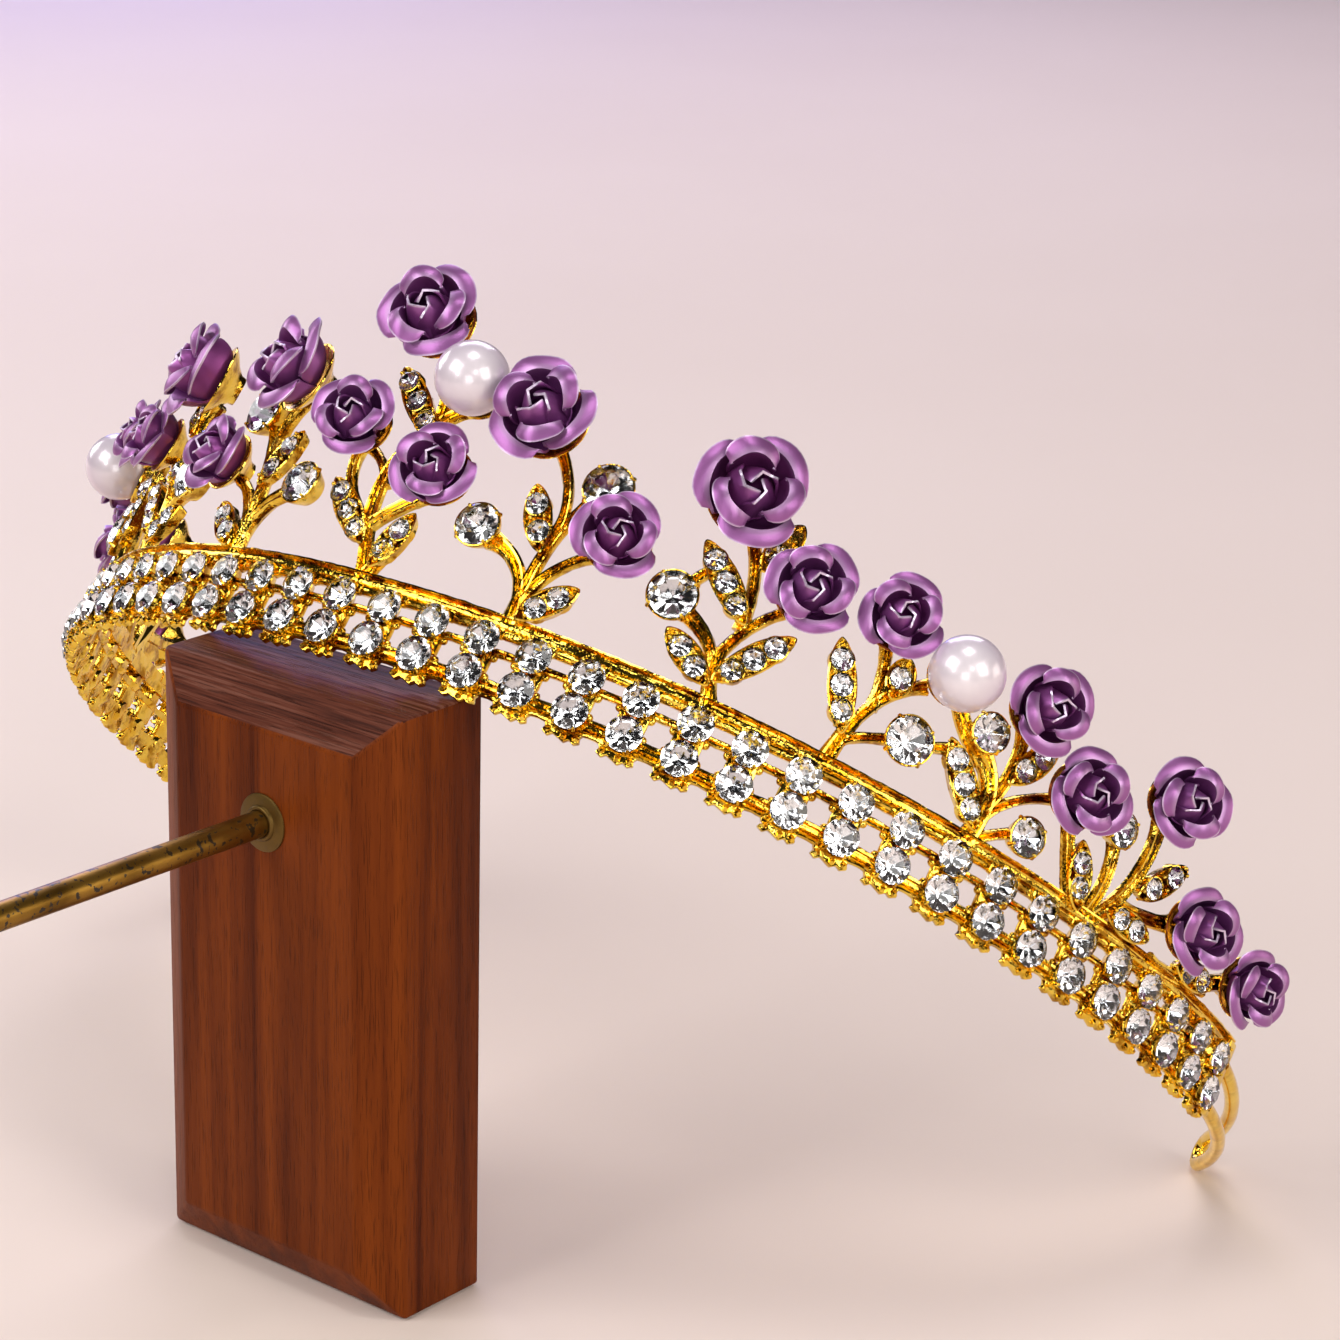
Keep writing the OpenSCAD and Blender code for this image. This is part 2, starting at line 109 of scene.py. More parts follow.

# %% [markdown]
# ## The plan of the sprays
# These short tables are the crown's drawing, read from the photo. The right arm is listed
# and the left arm mirrors it, apart from the roses and pearls, which are listed one by one on
# both arms because the photo shows that they differ.

# %% Roses, pearls and larger stones
# each rose: u, h, diameter, swing sideways, turn of the petals
CENTRE_ROSES = [(-2.6, 33.4, 11.4, 12, 63), (-7.2, 20.6, 9.5, 20, 41), (5.7, 17.0, 9.7, 12, 95)]
RIGHT_ROSES = [
    (15.2, 25.9, 11.9, 0, 114), (26.9, 16.1, 9.7, 12, 65), (37.0, 25.6, 12.3, 12, 56),
    (46.8, 19.0, 10.0, 0, 57), (56.0, 20.6, 9.3, -5, 81), (73.1, 19.8, 10.0, 0, 39),
    (81.5, 14.4, 9.8, -8, 108), (93.6, 19.9, 9.7, -20, 11), (103.4, 9.9, 9.6, -15, 3),
    (116.4, 9.1, 9.3, -15, 113),
]
LEFT_ROSES = [
    (-17.4, 25.2, 12.0, -12, 33), (-25.3, 14.6, 9.5, 0, 1), (-37.0, 25.5, 12.0, -12, 112),
    (-46.0, 18.4, 9.6, 0, 63), (-55.5, 20.6, 9.5, 5, 30), (-73.1, 19.8, 10.0, 0, 80),
    (-81.5, 14.4, 9.8, 8, 12), (-93.6, 19.9, 9.7, 20, 109), (-103.4, 9.9, 9.6, 15, 117),
    (-116.4, 9.1, 9.3, 15, 7),
]
ALL_ROSES = CENTRE_ROSES + RIGHT_ROSES + LEFT_ROSES
ROSE_FOOT = 1.1
# each pearl: u, h
PEARLS = [(6.5, 27.1), (63.7, 18.3), (-63.5, 18.1)]
PEARL_R = 4.0
PEARL_FOOT = 0.5
# each larger stone: u, h, diameter
BIG_STONES = [
    (12.2, 13.2, 4.7), (23.8, 21.2, 5.2), (34.4, 13.3, 5.1), (62.2, 10.3, 5.0),
    (69.6, 15.2, 4.0), (78.3, 7.8, 4.0), (88.4, 14.2, 3.7),
]
BIG_SEAT = 1.4
# each arm: name, sign of its u
ARMS = (("right", 1), ("left", -1))
print("roses:", len(ALL_ROSES), "pearls:", len(PEARLS), "larger stones:", len(ARMS) * len(BIG_STONES))

# %% Leaves
# each leaf: first stone's u and h, last stone's u and h, number of stones
CENTRE_LEAVES = [(-2.1, 9.6, -6.3, 13.2, 3), (2.5, 8.0, 3.4, 10.5, 2), (0.6, 22.8, -3.8, 26.8, 3)]
SIDE_LEAVES = [
    (18.6, 14.7, 17.2, 17.4, 2), (21.8, 6.9, 23.6, 8.7, 2), (39.4, 7.5, 37.2, 8.9, 2),
    (40.6, 15.1, 36.8, 18.6, 3), (43.0, 8.7, 46.1, 12.7, 3), (42.2, 21.6, 42.8, 23.4, 1),
    (54.7, 9.9, 52.6, 14.7, 3), (58.8, 15.7, 58.8, 15.7, 1), (71.3, 7.3, 67.8, 11.2, 3),
    (75.1, 13.8, 76.4, 16.0, 2), (86.9, 6.5, 85.9, 8.9, 2), (96.1, 11.2, 98.3, 13.7, 2),
    (93.8, 6.4, 96.5, 6.4, 2), (107.0, 6.6, 110.0, 6.9, 2),
]
LEAF_SEAT = 0.9


def leaf_rows():
    """Each leaf of the crown as its first and last stone place and its number of stones."""
    rows = [(Vector(row[:2]), Vector(row[2:4]), row[4]) for row in CENTRE_LEAVES]
    for _, side in ARMS:
        for row in SIDE_LEAVES:
            rows.append((Vector((side * row[0], row[1])), Vector((side * row[2], row[3])), row[4]))
    return rows


print("leaves:", len(leaf_rows()))

# %% Stems
# each stem: start u and h, pull u and h, end u and h, first and last width,
# and the rose at its end, counted from nought in the table of its arm, or -1
CENTRE_STEMS = [
    (1.0, 4.6, -0.6, 8.0, -1.5, 11.2, 2.0, 1.6, -1), (-1.4, 10.4, -7.8, 14.0, -6.9, 18.8, 1.5, 1.2, -1),
    (-1.5, 15.0, -2.4, 17.6, -5.6, 18.9, 1.2, 1.2, -1), (-1.5, 10.4, -3.4, 18.5, 1.6, 22.4, 1.8, 1.8, -1),
    (1.2, 22.0, 2.6, 24.2, 4.8, 25.4, 1.8, 1.6, -1), (1.6, 22.0, 2.2, 27.0, -1.6, 31.6, 1.8, 1.8, -1),
    (-1.2, 10.4, 1.4, 13.2, 4.6, 15.4, 1.6, 2.0, -1), (1.0, 4.8, 2.0, 6.5, 2.6, 8.4, 1.8, 1.6, -1),
]
SIDE_STEMS = [
    (19.6, 4.6, 19.6, 11.6, 13.6, 12.6, 1.4, 2.0, -1), (19.6, 4.6, 18.8, 14.0, 22.4, 20.0, 1.8, 1.2, -1),
    (19.4, 7.0, 21.3, 12.6, 26.0, 14.8, 1.5, 1.3, 1), (20.2, 15.6, 20.4, 20.5, 16.2, 24.4, 1.2, 1.4, 0),
    (42.2, 4.6, 41.2, 7.0, 40.8, 10.0, 2.0, 1.6, -1), (40.9, 8.8, 39.2, 11.6, 35.8, 12.6, 1.4, 2.0, -1),
    (40.8, 8.8, 42.0, 14.0, 46.2, 17.4, 1.5, 1.3, 3), (42.0, 13.0, 42.0, 18.5, 38.6, 23.6, 1.5, 1.6, 2),
    (35.2, 15.0, 36.0, 16.8, 37.2, 18.0, 1.4, 1.4, -1), (55.4, 4.6, 56.2, 13.4, 61.8, 16.4, 1.8, 1.5, -1),
    (57.4, 11.6, 57.6, 15.0, 56.0, 18.8, 1.4, 1.5, 4), (56.2, 7.6, 58.2, 8.9, 60.8, 9.8, 1.3, 1.3, -1),
    (72.6, 4.6, 74.2, 10.5, 70.2, 13.2, 2.0, 2.4, -1), (70.6, 12.8, 67.4, 14.0, 65.6, 16.8, 2.4, 1.8, -1),
    (72.9, 8.6, 75.0, 12.6, 73.4, 17.8, 1.6, 1.6, 5), (73.0, 7.2, 75.0, 11.0, 79.6, 13.0, 1.4, 1.2, 6),
    (73.0, 4.7, 75.6, 7.0, 77.4, 7.7, 1.4, 1.4, -1), (64.0, 10.6, 65.4, 11.4, 67.0, 12.0, 1.4, 1.4, -1),
    (87.4, 4.6, 84.6, 8.0, 82.6, 12.4, 2.0, 1.6, 6), (89.6, 4.6, 91.0, 10.0, 88.8, 13.4, 1.6, 1.6, -1),
    (90.6, 4.7, 95.6, 11.0, 93.6, 17.8, 1.8, 1.8, 7), (93.0, 7.6, 98.0, 8.0, 102.0, 9.8, 1.8, 2.0, 8),
    (101.0, 4.9, 106.0, 4.9, 112.0, 6.9, 1.8, 2.0, -1), (111.0, 6.7, 113.0, 8.0, 115.8, 9.0, 2.0, 2.2, 9),
]


def arm_stems(side):
    """Start, pull point, end, first and last width of each stem of an arm."""
    for row in SIDE_STEMS:
        start, pull, end = (Vector((side * row[k], row[k + 1])) for k in (0, 2, 4))
        if row[8] >= 0 and side < 0:
            left, right = LEFT_ROSES[row[8]], RIGHT_ROSES[row[8]]
            shift = Vector((left[0] + right[0], left[1] - right[1]))
            pull, end = pull + shift / 2, end + shift
        yield start, pull, end, row[6], row[7]


print("stems:", len(CENTRE_STEMS) + len(ARMS) * len(SIDE_STEMS))

# %% [markdown]
# ## Finishes shared by several pieces
# A cast or worn surface is never quite even. A small node group adds that unevenness to
# any finish: it gives a mask for patches of colour, a mask for fine dents, and a normal for
# those dents. The group only puts out values and normals, and each material keeps its own
# shader. Three short helpers make the links that nearly every finish needs.


# %% A node group for uneven surfaces
def make_uneven_group():
    group = bpy.data.node_groups.new("uneven_surface", "ShaderNodeTree")
    for name in ("Patch Scale", "Dent Scale", "Dent Depth"):
        group.interface.new_socket(name=name, in_out="INPUT", socket_type="NodeSocketFloat")
    for name in ("Patches", "Dents"):
        group.interface.new_socket(name=name, in_out="OUTPUT", socket_type="NodeSocketFloat")
    group.interface.new_socket(name="Normal", in_out="OUTPUT", socket_type="NodeSocketVector")
    nodes, links = group.nodes, group.links
    inside = nodes.new("NodeGroupInput")
    outside = nodes.new("NodeGroupOutput")
    place = nodes.new("ShaderNodeTexCoord")
    patches = nodes.new("ShaderNodeTexNoise")
    patches.inputs["Detail"].default_value = 3
    dents = nodes.new("ShaderNodeTexNoise")
    dents.inputs["Detail"].default_value = 4
    dents.inputs["Roughness"].default_value = 0.6
    bump = nodes.new("ShaderNodeBump")
    bump.inputs["Strength"].default_value = 1
    for texture, scale, mask in ((patches, "Patch Scale", "Patches"), (dents, "Dent Scale", "Dents")):
        links.new(place.outputs["Object"], texture.inputs["Vector"])
        links.new(inside.outputs[scale], texture.inputs["Scale"])
        links.new(texture.outputs["Fac"], outside.inputs[mask])
    links.new(inside.outputs["Dent Depth"], bump.inputs["Distance"])
    links.new(dents.outputs["Fac"], bump.inputs["Height"])
    links.new(bump.outputs["Normal"], outside.inputs["Normal"])
    return group


uneven_surface = make_uneven_group()


def new_finish(name, patch_scale, dent_scale, dent_depth):
    """A material whose normal is dented, with its nodes, links, shader and uneven masks."""
    finish = bpy.data.materials.new(name)
    finish.use_nodes = True
    nodes, links = finish.node_tree.nodes, finish.node_tree.links
    shader = nodes["Principled BSDF"]
    uneven = nodes.new("ShaderNodeGroup")
    uneven.node_tree = uneven_surface
    uneven.inputs["Patch Scale"].default_value = patch_scale
    uneven.inputs["Dent Scale"].default_value = dent_scale
    uneven.inputs["Dent Depth"].default_value = dent_depth
    links.new(uneven.outputs["Normal"], shader.inputs["Normal"])
    return finish, nodes, links, shader, uneven.outputs


# %% Helpers for links
def ramp_colours(nodes, links, mask, stops):
    """Turn a mask into colours by (position, colour) stops."""
    ramp = nodes.new("ShaderNodeValToRGB")
    while len(ramp.color_ramp.elements) < len(stops):
        ramp.color_ramp.elements.new(0.5)
    for element, (position, colour) in zip(ramp.color_ramp.elements, stops):
        element.position = position
        element.color = (*colour, 1)
    links.new(mask, ramp.inputs["Fac"])
    return ramp.outputs["Color"]


def blend_colours(nodes, links, way, share, first, second):
    """Blend two colours. The share and the colours are outputs of nodes or plain values."""
    blend = nodes.new("ShaderNodeMix")
    blend.data_type = "RGBA"
    blend.blend_type = way
    for name, value in (("Factor", share), ("A", first), ("B", second)):
        if isinstance(value, bpy.types.NodeSocket):
            links.new(value, blend.inputs[name])
        else:
            blend.inputs[name].default_value = value
    return blend.outputs["Result"]


def spread_mask(nodes, links, mask, low, high):
    """Turn a mask that runs from nothing to one into values from low to high."""
    spread = nodes.new("ShaderNodeMapRange")
    spread.inputs["To Min"].default_value = low
    spread.inputs["To Max"].default_value = high
    links.new(mask, spread.inputs["Value"])
    return spread.outputs["Result"]


print("shared node group:", uneven_surface.name)

# %% [markdown]
# ## Gold
# The crown is a rough casting with a thin bright gold plating. Its colour comes from
# metal reflections, so Metallic is one and the base colour is a deep yellow, redder in
# some patches. The dents of the casting are painted darker as shade, and they break the reflections up.
# The end loops are drawn wire and much smoother, so they get a finish of their own.

# %% Gold finishes
GOLD_TINTS = [(0.3, (0.82, 0.465, 0.028)), (0.65, (0.97, 0.70, 0.105))]
# painted shade: this ramp darkens the dents of the casting in the base colour
GOLD_DENT_SHADE = [(0.36, (0.36, 0.22, 0.08)), (0.5, (1.0, 1.0, 1.0))]


def make_gold(name, dent_depth, dent_shade_share, low_roughness, high_roughness):
    gold, nodes, links, shader, masks = new_finish(name, 350, 480, dent_depth)
    tint = ramp_colours(nodes, links, masks["Patches"], GOLD_TINTS)
    dent_shade = ramp_colours(nodes, links, masks["Dents"], GOLD_DENT_SHADE)
    # the painted shade of the dents is multiplied into the gold here
    shade = blend_colours(nodes, links, "MULTIPLY", dent_shade_share, tint, dent_shade)
    rough = spread_mask(nodes, links, masks["Dents"], low_roughness, high_roughness)
    links.new(shade, shader.inputs["Base Color"])
    links.new(rough, shader.inputs["Roughness"])
    shader.inputs["Metallic"].default_value = 1
    return gold


cast_gold = make_gold("cast_gold", 0.00022, 0.85, 0.06, 0.18)
wire_gold = make_gold("wire_gold", 0.00003, 0.3, 0.1, 0.2)
print("gold finishes:", cast_gold.name, wire_gold.name)

# %% [markdown]
# ## Clear stones
# Each stone is clear glass with a mirror foil on its pointed back. Light comes in through
# the top, bounces off the facets of the foil and leaves in another direction, which gives
# the hard pattern of white and grey. So a stone here is two meshes: a glass one with all
# its facets, and a silver cone of facets just behind it.

# %% Stone finishes
stone_glass, nodes, links, shader, masks = new_finish("stone_glass", 700, 2500, 0.00001)
clear = ramp_colours(nodes, links, masks["Patches"], [(0.35, (0.97, 0.98, 1.0)), (0.65, (1.0, 1.0, 1.0))])
links.new(clear, shader.inputs["Base Color"])
shader.inputs["Roughness"].default_value = 0.0
shader.inputs["IOR"].default_value = 1.58
shader.inputs["Transmission Weight"].default_value = 1

foil_silver, nodes, links, shader, masks = new_finish("foil_silver", 600, 2000, 0.00002)
silver = ramp_colours(nodes, links, masks["Patches"], [(0.3, (0.72, 0.74, 0.78)), (0.7, (0.95, 0.95, 0.96))])
links.new(silver, shader.inputs["Base Color"])
shader.inputs["Metallic"].default_value = 1
shader.inputs["Roughness"].default_value = 0.04
print("stone finishes:", stone_glass.name, foil_silver.name)

# %% [markdown]
# ## Purple metal
# The roses are pressed from thin aluminium sheet and dyed. The dye lets the metal shine
# through as a soft satin, lilac where it faces the light and deep violet in the folds.
# Light and shade are painted into the colour, so every vertex of a petal carries a value
# called lip. It is low in the cup, as painted shade, and near one on the lip, as painted light,
# and it goes above one on a fold and on a cut edge, as a painted highlight.

# %% Rose finish
# the dye's colour darkened as painted shade in the cups, a painted light on the lips, and a painted highlight
# on folds and edges
DYE_AND_SHADE_TINTS = [(0.35, (0.275, 0.048, 0.24)), (0.65, (0.26, 0.075, 0.28))]
LIP_LIGHT_TINT = (0.345, 0.128, 0.345, 1)
EDGE_HIGHLIGHT_TINT = (0.86, 0.74, 0.90, 1)
rose_metal, nodes, links, shader, masks = new_finish("rose_metal", 45, 5200, 0.000012)
lip = nodes.new("ShaderNodeAttribute")
lip.attribute_name = "lip"
over_one = nodes.new("ShaderNodeMath")
over_one.operation = "SUBTRACT"
over_one.inputs[1].default_value = 1
links.new(lip.outputs["Fac"], over_one.inputs[0])
dye_and_shade = ramp_colours(nodes, links, masks["Patches"], DYE_AND_SHADE_TINTS)
# painted light on the lips, then a painted highlight on the folds and cut edges
painted_lip_light = blend_colours(nodes, links, "MIX", lip.outputs["Fac"], dye_and_shade, LIP_LIGHT_TINT)
painted_light_colour = blend_colours(nodes, links, "MIX", over_one.outputs["Value"], painted_lip_light, EDGE_HIGHLIGHT_TINT)
links.new(painted_light_colour, shader.inputs["Base Color"])
links.new(spread_mask(nodes, links, masks["Dents"], 0.33, 0.45), shader.inputs["Roughness"])
shader.inputs["Metallic"].default_value = 0.64
print("rose finish:", rose_metal.name)

# %% [markdown]
# ## Pearl
# A pearl is white. A painted sheen colours it by how far its surface turns from the view:
# a little darker part way out, and pink to lilac near its edge. A thin clear coat gives the
# sharp highlight, and the body under it is softer.

# %% Pearl finish
PEARL_BODY = [(0.35, (0.86, 0.80, 0.82)), (0.65, (0.93, 0.88, 0.88))]
PAINTED_PEARL_SHEEN = [
    (0.0, (0.90, 0.86, 0.90)), (0.45, (0.74, 0.66, 0.76)), (0.8, (0.86, 0.72, 0.86)),
    (1.0, (0.95, 0.86, 0.98)),
]
pearl_white, nodes, links, shader, masks = new_finish("pearl_white", 220, 900, 0.00001)
facing = nodes.new("ShaderNodeLayerWeight")
facing.inputs["Blend"].default_value = 0.5
body = ramp_colours(nodes, links, masks["Patches"], PEARL_BODY)
# painted sheen: the colour follows how far the surface turns from the view
painted_sheen = ramp_colours(nodes, links, facing.outputs["Facing"], PAINTED_PEARL_SHEEN)
links.new(blend_colours(nodes, links, "MULTIPLY", 0.8, body, painted_sheen), shader.inputs["Base Color"])
shader.inputs["Roughness"].default_value = 0.28
shader.inputs["Metallic"].default_value = 0.15
shader.inputs["Coat Weight"].default_value = 0.8
shader.inputs["Coat Roughness"].default_value = 0.08
print("pearl finish:", pearl_white.name)

# %% [markdown]
# ## Walnut
# The block is oiled walnut with its grain running up. Noise that is stretched along Z draws
# the long streaks, and a much finer one draws the short dark pores. The faces that look up
# cut across the grain, so they are greyer and show fine lines from side to side.

# %% Wood finishes
SIDE_GRAIN = [
    (0.3, (0.066, 0.0105, 0.0015)), (0.45, (0.128, 0.023, 0.0025)), (0.6, (0.19, 0.037, 0.0035)),
    (0.75, (0.098, 0.018, 0.002)),
]
END_GRAIN = [(0.36, (0.045, 0.010, 0.005)), (0.5, (0.105, 0.026, 0.013)), (0.64, (0.17, 0.062, 0.04))]
PORE_SCALE = 7000
PORE_DARKNESS = [(0.34, (0.4, 0.4, 0.4)), (0.42, (1.0, 1.0, 1.0))]


def make_walnut(name, stretch, streak_scale, grain_stops, pore_depth):
    walnut = bpy.data.materials.new(name)
    walnut.use_nodes = True
    nodes, links = walnut.node_tree.nodes, walnut.node_tree.links
    shader = nodes["Principled BSDF"]
    place = nodes.new("ShaderNodeTexCoord")
    squeeze = nodes.new("ShaderNodeMapping")
    squeeze.inputs["Scale"].default_value = stretch
    links.new(place.outputs["Object"], squeeze.inputs["Vector"])
    streaks = nodes.new("ShaderNodeTexNoise")
    streaks.inputs["Scale"].default_value = streak_scale
    streaks.inputs["Detail"].default_value = 6
    streaks.inputs["Roughness"].default_value = 0.62
    streaks.inputs["Distortion"].default_value = 0.5
    pores = nodes.new("ShaderNodeTexNoise")
    pores.inputs["Scale"].default_value = PORE_SCALE
    pores.inputs["Detail"].default_value = 2
    links.new(squeeze.outputs["Vector"], streaks.inputs["Vector"])
    links.new(squeeze.outputs["Vector"], pores.inputs["Vector"])
    grain = ramp_colours(nodes, links, streaks.outputs["Fac"], grain_stops)
    pits = ramp_colours(nodes, links, pores.outputs["Fac"], PORE_DARKNESS)
    bump = nodes.new("ShaderNodeBump")
    bump.inputs["Distance"].default_value = pore_depth
    links.new(pits, bump.inputs["Height"])
    links.new(blend_colours(nodes, links, "MULTIPLY", 0.55, grain, pits), shader.inputs["Base Color"])
    links.new(spread_mask(nodes, links, pits, 0.6, 0.45), shader.inputs["Roughness"])
    links.new(bump.outputs["Normal"], shader.inputs["Normal"])
    shader.inputs["Specular IOR Level"].default_value = 0.07
    return walnut


walnut_side = make_walnut("walnut_side", (1, 1, 0.035), 260, SIDE_GRAIN, 0.00005)
walnut_end = make_walnut("walnut_end", (0.025, 1, 1), 1900, END_GRAIN, 0.0001)
print("wood finishes:", walnut_side.name, walnut_end.name)

# %% [markdown]
# ## Aged brass
# The rod and the eyelet are old brass: olive where the lacquer has gone dull, with dark
# specks of tarnish that are scattered unevenly. A noise with a sharp ramp makes specks.
# The eyelet is darker and rougher than the rod, and it has hardly any specks.

# %% Brass finishes
SPECK_SCALE = 1250
SPECK_MASK = [(0.585, (1.0, 1.0, 1.0)), (0.62, (0.08, 0.08, 0.08))]


def make_brass(name, dark_tone, light_tone, roughness, speck_share):
    brass, nodes, links, shader, masks = new_finish(name, 160, 1300, 0.00003)
    tone = ramp_colours(nodes, links, masks["Patches"], [(0.32, dark_tone), (0.66, light_tone)])
    place = nodes.new("ShaderNodeTexCoord")
    specks = nodes.new("ShaderNodeTexNoise")
    specks.inputs["Scale"].default_value = SPECK_SCALE
    specks.inputs["Detail"].default_value = 3
    links.new(place.outputs["Object"], specks.inputs["Vector"])
    clean = ramp_colours(nodes, links, specks.outputs["Fac"], SPECK_MASK)
    links.new(blend_colours(nodes, links, "MULTIPLY", speck_share, tone, clean), shader.inputs["Base Color"])
    links.new(spread_mask(nodes, links, clean, 0.95 - 0.75 * speck_share, 0.95), shader.inputs["Metallic"])
    shader.inputs["Roughness"].default_value = roughness
    return brass


aged_brass = make_brass("aged_brass", (0.17, 0.085, 0.012), (0.35, 0.19, 0.032), 0.36, 1)
dull_brass = make_brass("dull_brass", (0.11, 0.062, 0.015), (0.17, 0.10, 0.026), 0.45, 0.15)
print("brass finishes:", aged_brass.name, dull_brass.name)

# %% [markdown]
# ## Helpers for every piece
# A template is a small mesh that is made once. Stamping copies it into a bigger mesh at a
# place on the crown. When a piece is done, it is scaled from millimetres to metres in its
# mesh, so that its object stays at the origin, and the solid it replaces is hidden.
# Turned shapes are an outline that is spun round the Z axis, like work on a lathe.


# %% Helpers for pieces
def to_template(bm, name):
    mesh = bpy.data.meshes.new(name)
    bm.to_mesh(mesh)
    bm.free()
    return mesh


def stamp(bm, template, matrix):
    """Copy a template into bm and put the copy at a place."""
    before = len(bm.verts)
    bm.from_mesh(template)
    bm.verts.ensure_lookup_table()
    bmesh.ops.transform(bm, matrix=matrix, verts=bm.verts[before:])


def finish_piece(name, bm, finishes, replaced=(), smooth_angle=None):
    """Turn a mesh in millimetres into a finished piece of the object."""
    bmesh.ops.transform(bm, matrix=Matrix.Scale(MM, 4), verts=bm.verts[:])
    for face in bm.faces:
        face.smooth = smooth_angle is not None
    mesh = to_template(bm, name)
    for finish in finishes:
        mesh.materials.append(finish)
    if smooth_angle is not None:
        mesh.set_sharp_from_angle(angle=math.radians(smooth_angle))
    piece = bpy.data.objects.new(name, mesh)
    bpy.context.collection.objects.link(piece)
    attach(piece, "root")
    if replaced:
        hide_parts(*replaced)
    print(name, "faces:", len(mesh.polygons))


# %% Helpers for turned shapes and rings
WELD = 0.0005


def join_ring(bm, ring):
    """New edges that close a list of vertices into a ring."""
    return [bm.edges.new(pair) for pair in zip(ring, ring[1:] + ring[:1])]


def spin_round(bm, line, edges, steps):
    """Spin a line of vertices once round the Z axis and weld it into one skin."""
    bmesh.ops.spin(
        bm, geom=line + edges, cent=(0, 0, 0), axis=(0, 0, 1), angle=2 * math.pi, steps=steps,
        use_merge=True, use_duplicate=False,
    )
    bmesh.ops.remove_doubles(bm, verts=bm.verts[:], dist=WELD)
    bmesh.ops.recalc_face_normals(bm, faces=bm.faces[:])
    return bm


def turned(profile, steps=32):
    """A closed turned shape from (radius, height) points, from its axis back to its axis."""
    bm = bmesh.new()
    line = [bm.verts.new((r, 0, z)) for r, z in profile]
    return spin_round(bm, line, [bm.edges.new(pair) for pair in zip(line, line[1:])], steps)


def turned_ring(profile, steps):
    """A closed turned ring from the (radius, height) corners of its cross-section."""
    bm = bmesh.new()
    ring = [bm.verts.new((r, 0, z)) for r, z in profile]
    return spin_round(bm, ring, join_ring(bm, ring), steps)


def grow_ring(bm, ring, points):
    """Extrude a closed ring of vertices to new points, and return the new ring."""
    edges = [bm.edges.get(pair) for pair in zip(ring, ring[1:] + ring[:1])]
    made = bmesh.ops.extrude_edge_only(bm, edges=edges)["geom"]
    fresh = {v for v in made if isinstance(v, bmesh.types.BMVert)}
    grown = [next(e.other_vert(old) for e in old.link_edges if e.other_vert(old) in fresh) for old in ring]
    for v, point in zip(grown, points):
        v.co = point
    return grown


def draw_rings(bm, rings):
    """A closed skin through rings of points, with a face on its first and its last ring."""
    ring = [bm.verts.new(point) for point in rings[0]]
    bmesh.ops.contextual_create(bm, geom=join_ring(bm, ring))
    for points in rings[1:]:
        ring = grow_ring(bm, ring, points)
    last = [bm.edges.get(pair) for pair in zip(ring, ring[1:] + ring[:1])]
    bmesh.ops.contextual_create(bm, geom=last)


print("turned shapes are welded within", WELD, "mm")

# %% [markdown]
# ## Cutting a stone
# A gem cutter starts with a rough disc and grinds flats on it one after another. The same
# works here: a short drum is cut by a plane for each facet, and each cut is closed. The
# pavilion at the back comes first. A fine stone gets a second, steeper turn of facets
# there, and sixteen facets in place of eight next to its edge. What is left on top is the
# table.

# %% Cut stone templates
# each turn of facets: slope in degrees, number, turn of the first one, reach
PAVILION = [(-37.5, 8, 0, 0.98)]
FINE_PAVILION = [(-37.5, 8, 0, 0.98), (-40.5, 8, 22.5, 0.985)]
CROWN_FACETS = [(36, 8, 22.5, 0.985), (33, 8, 0, 0.985)]
FINE_CROWN_FACETS = [(39, 16, 11.25, 0.985), (33, 8, 0, 0.985)]
GIRDLE_H = 0.03
STONE_TOP = 0.335
STONE_DEPTH = 1.15


def grind(bm, height, slope, count, first_turn, reach):
    """Cut facets all round through (reach, height). They face down if the slope is negative."""
    lean = math.radians(abs(slope))
    up = math.copysign(math.cos(lean), slope)
    for k in range(count):
        turn = math.radians(first_turn + 360 / count * k)
        out = Vector((math.cos(turn), math.sin(turn), 0))
        cut = bmesh.ops.bisect_plane(
            bm, geom=bm.verts[:] + bm.edges[:] + bm.faces[:], plane_co=out * reach + Vector((0, 0, height)),
            plane_no=out * math.sin(lean) + Vector((0, 0, up)), clear_outer=True, dist=1e-5,
        )
        edges = [e for e in cut["geom_cut"] if isinstance(e, bmesh.types.BMEdge)]
        if edges:
            bmesh.ops.edgeloop_fill(bm, edges=edges)


def drum(radius, depth, top):
    bm = bmesh.new()
    bmesh.ops.create_cone(bm, cap_ends=True, segments=16, radius1=radius, radius2=radius, depth=depth)
    bmesh.ops.translate(bm, vec=(0, 0, top - depth / 2), verts=bm.verts[:])
    return bm


def cut_stone_template(name, pavilion, crown_facets):
    bm = drum(1, STONE_DEPTH, STONE_TOP)
    for facets in pavilion:
        grind(bm, -GIRDLE_H, *facets)
    for facets in crown_facets:
        grind(bm, GIRDLE_H, *facets)
    bmesh.ops.recalc_face_normals(bm, faces=bm.faces[:])
    print(name, "facets:", len(bm.faces))
    return to_template(bm, name)


fine_stone = cut_stone_template("fine_stone", FINE_PAVILION, FINE_CROWN_FACETS)
small_stone = cut_stone_template("small_stone", PAVILION, CROWN_FACETS)

# %% [markdown]
# The foil follows the back of the stone. It starts as the same drum, a touch wider, and is
# ground to the same cone. Its top is taken off, and the skin that is left gets a thickness.

# %% Foil template
FOIL_R = 1.01
FOIL_DEPTH = 1.2
FOIL_TOP = -0.04
FOIL_GIRDLE = -0.06
FOIL_SPREAD = 0.02
FOIL_SKIN = 0.02


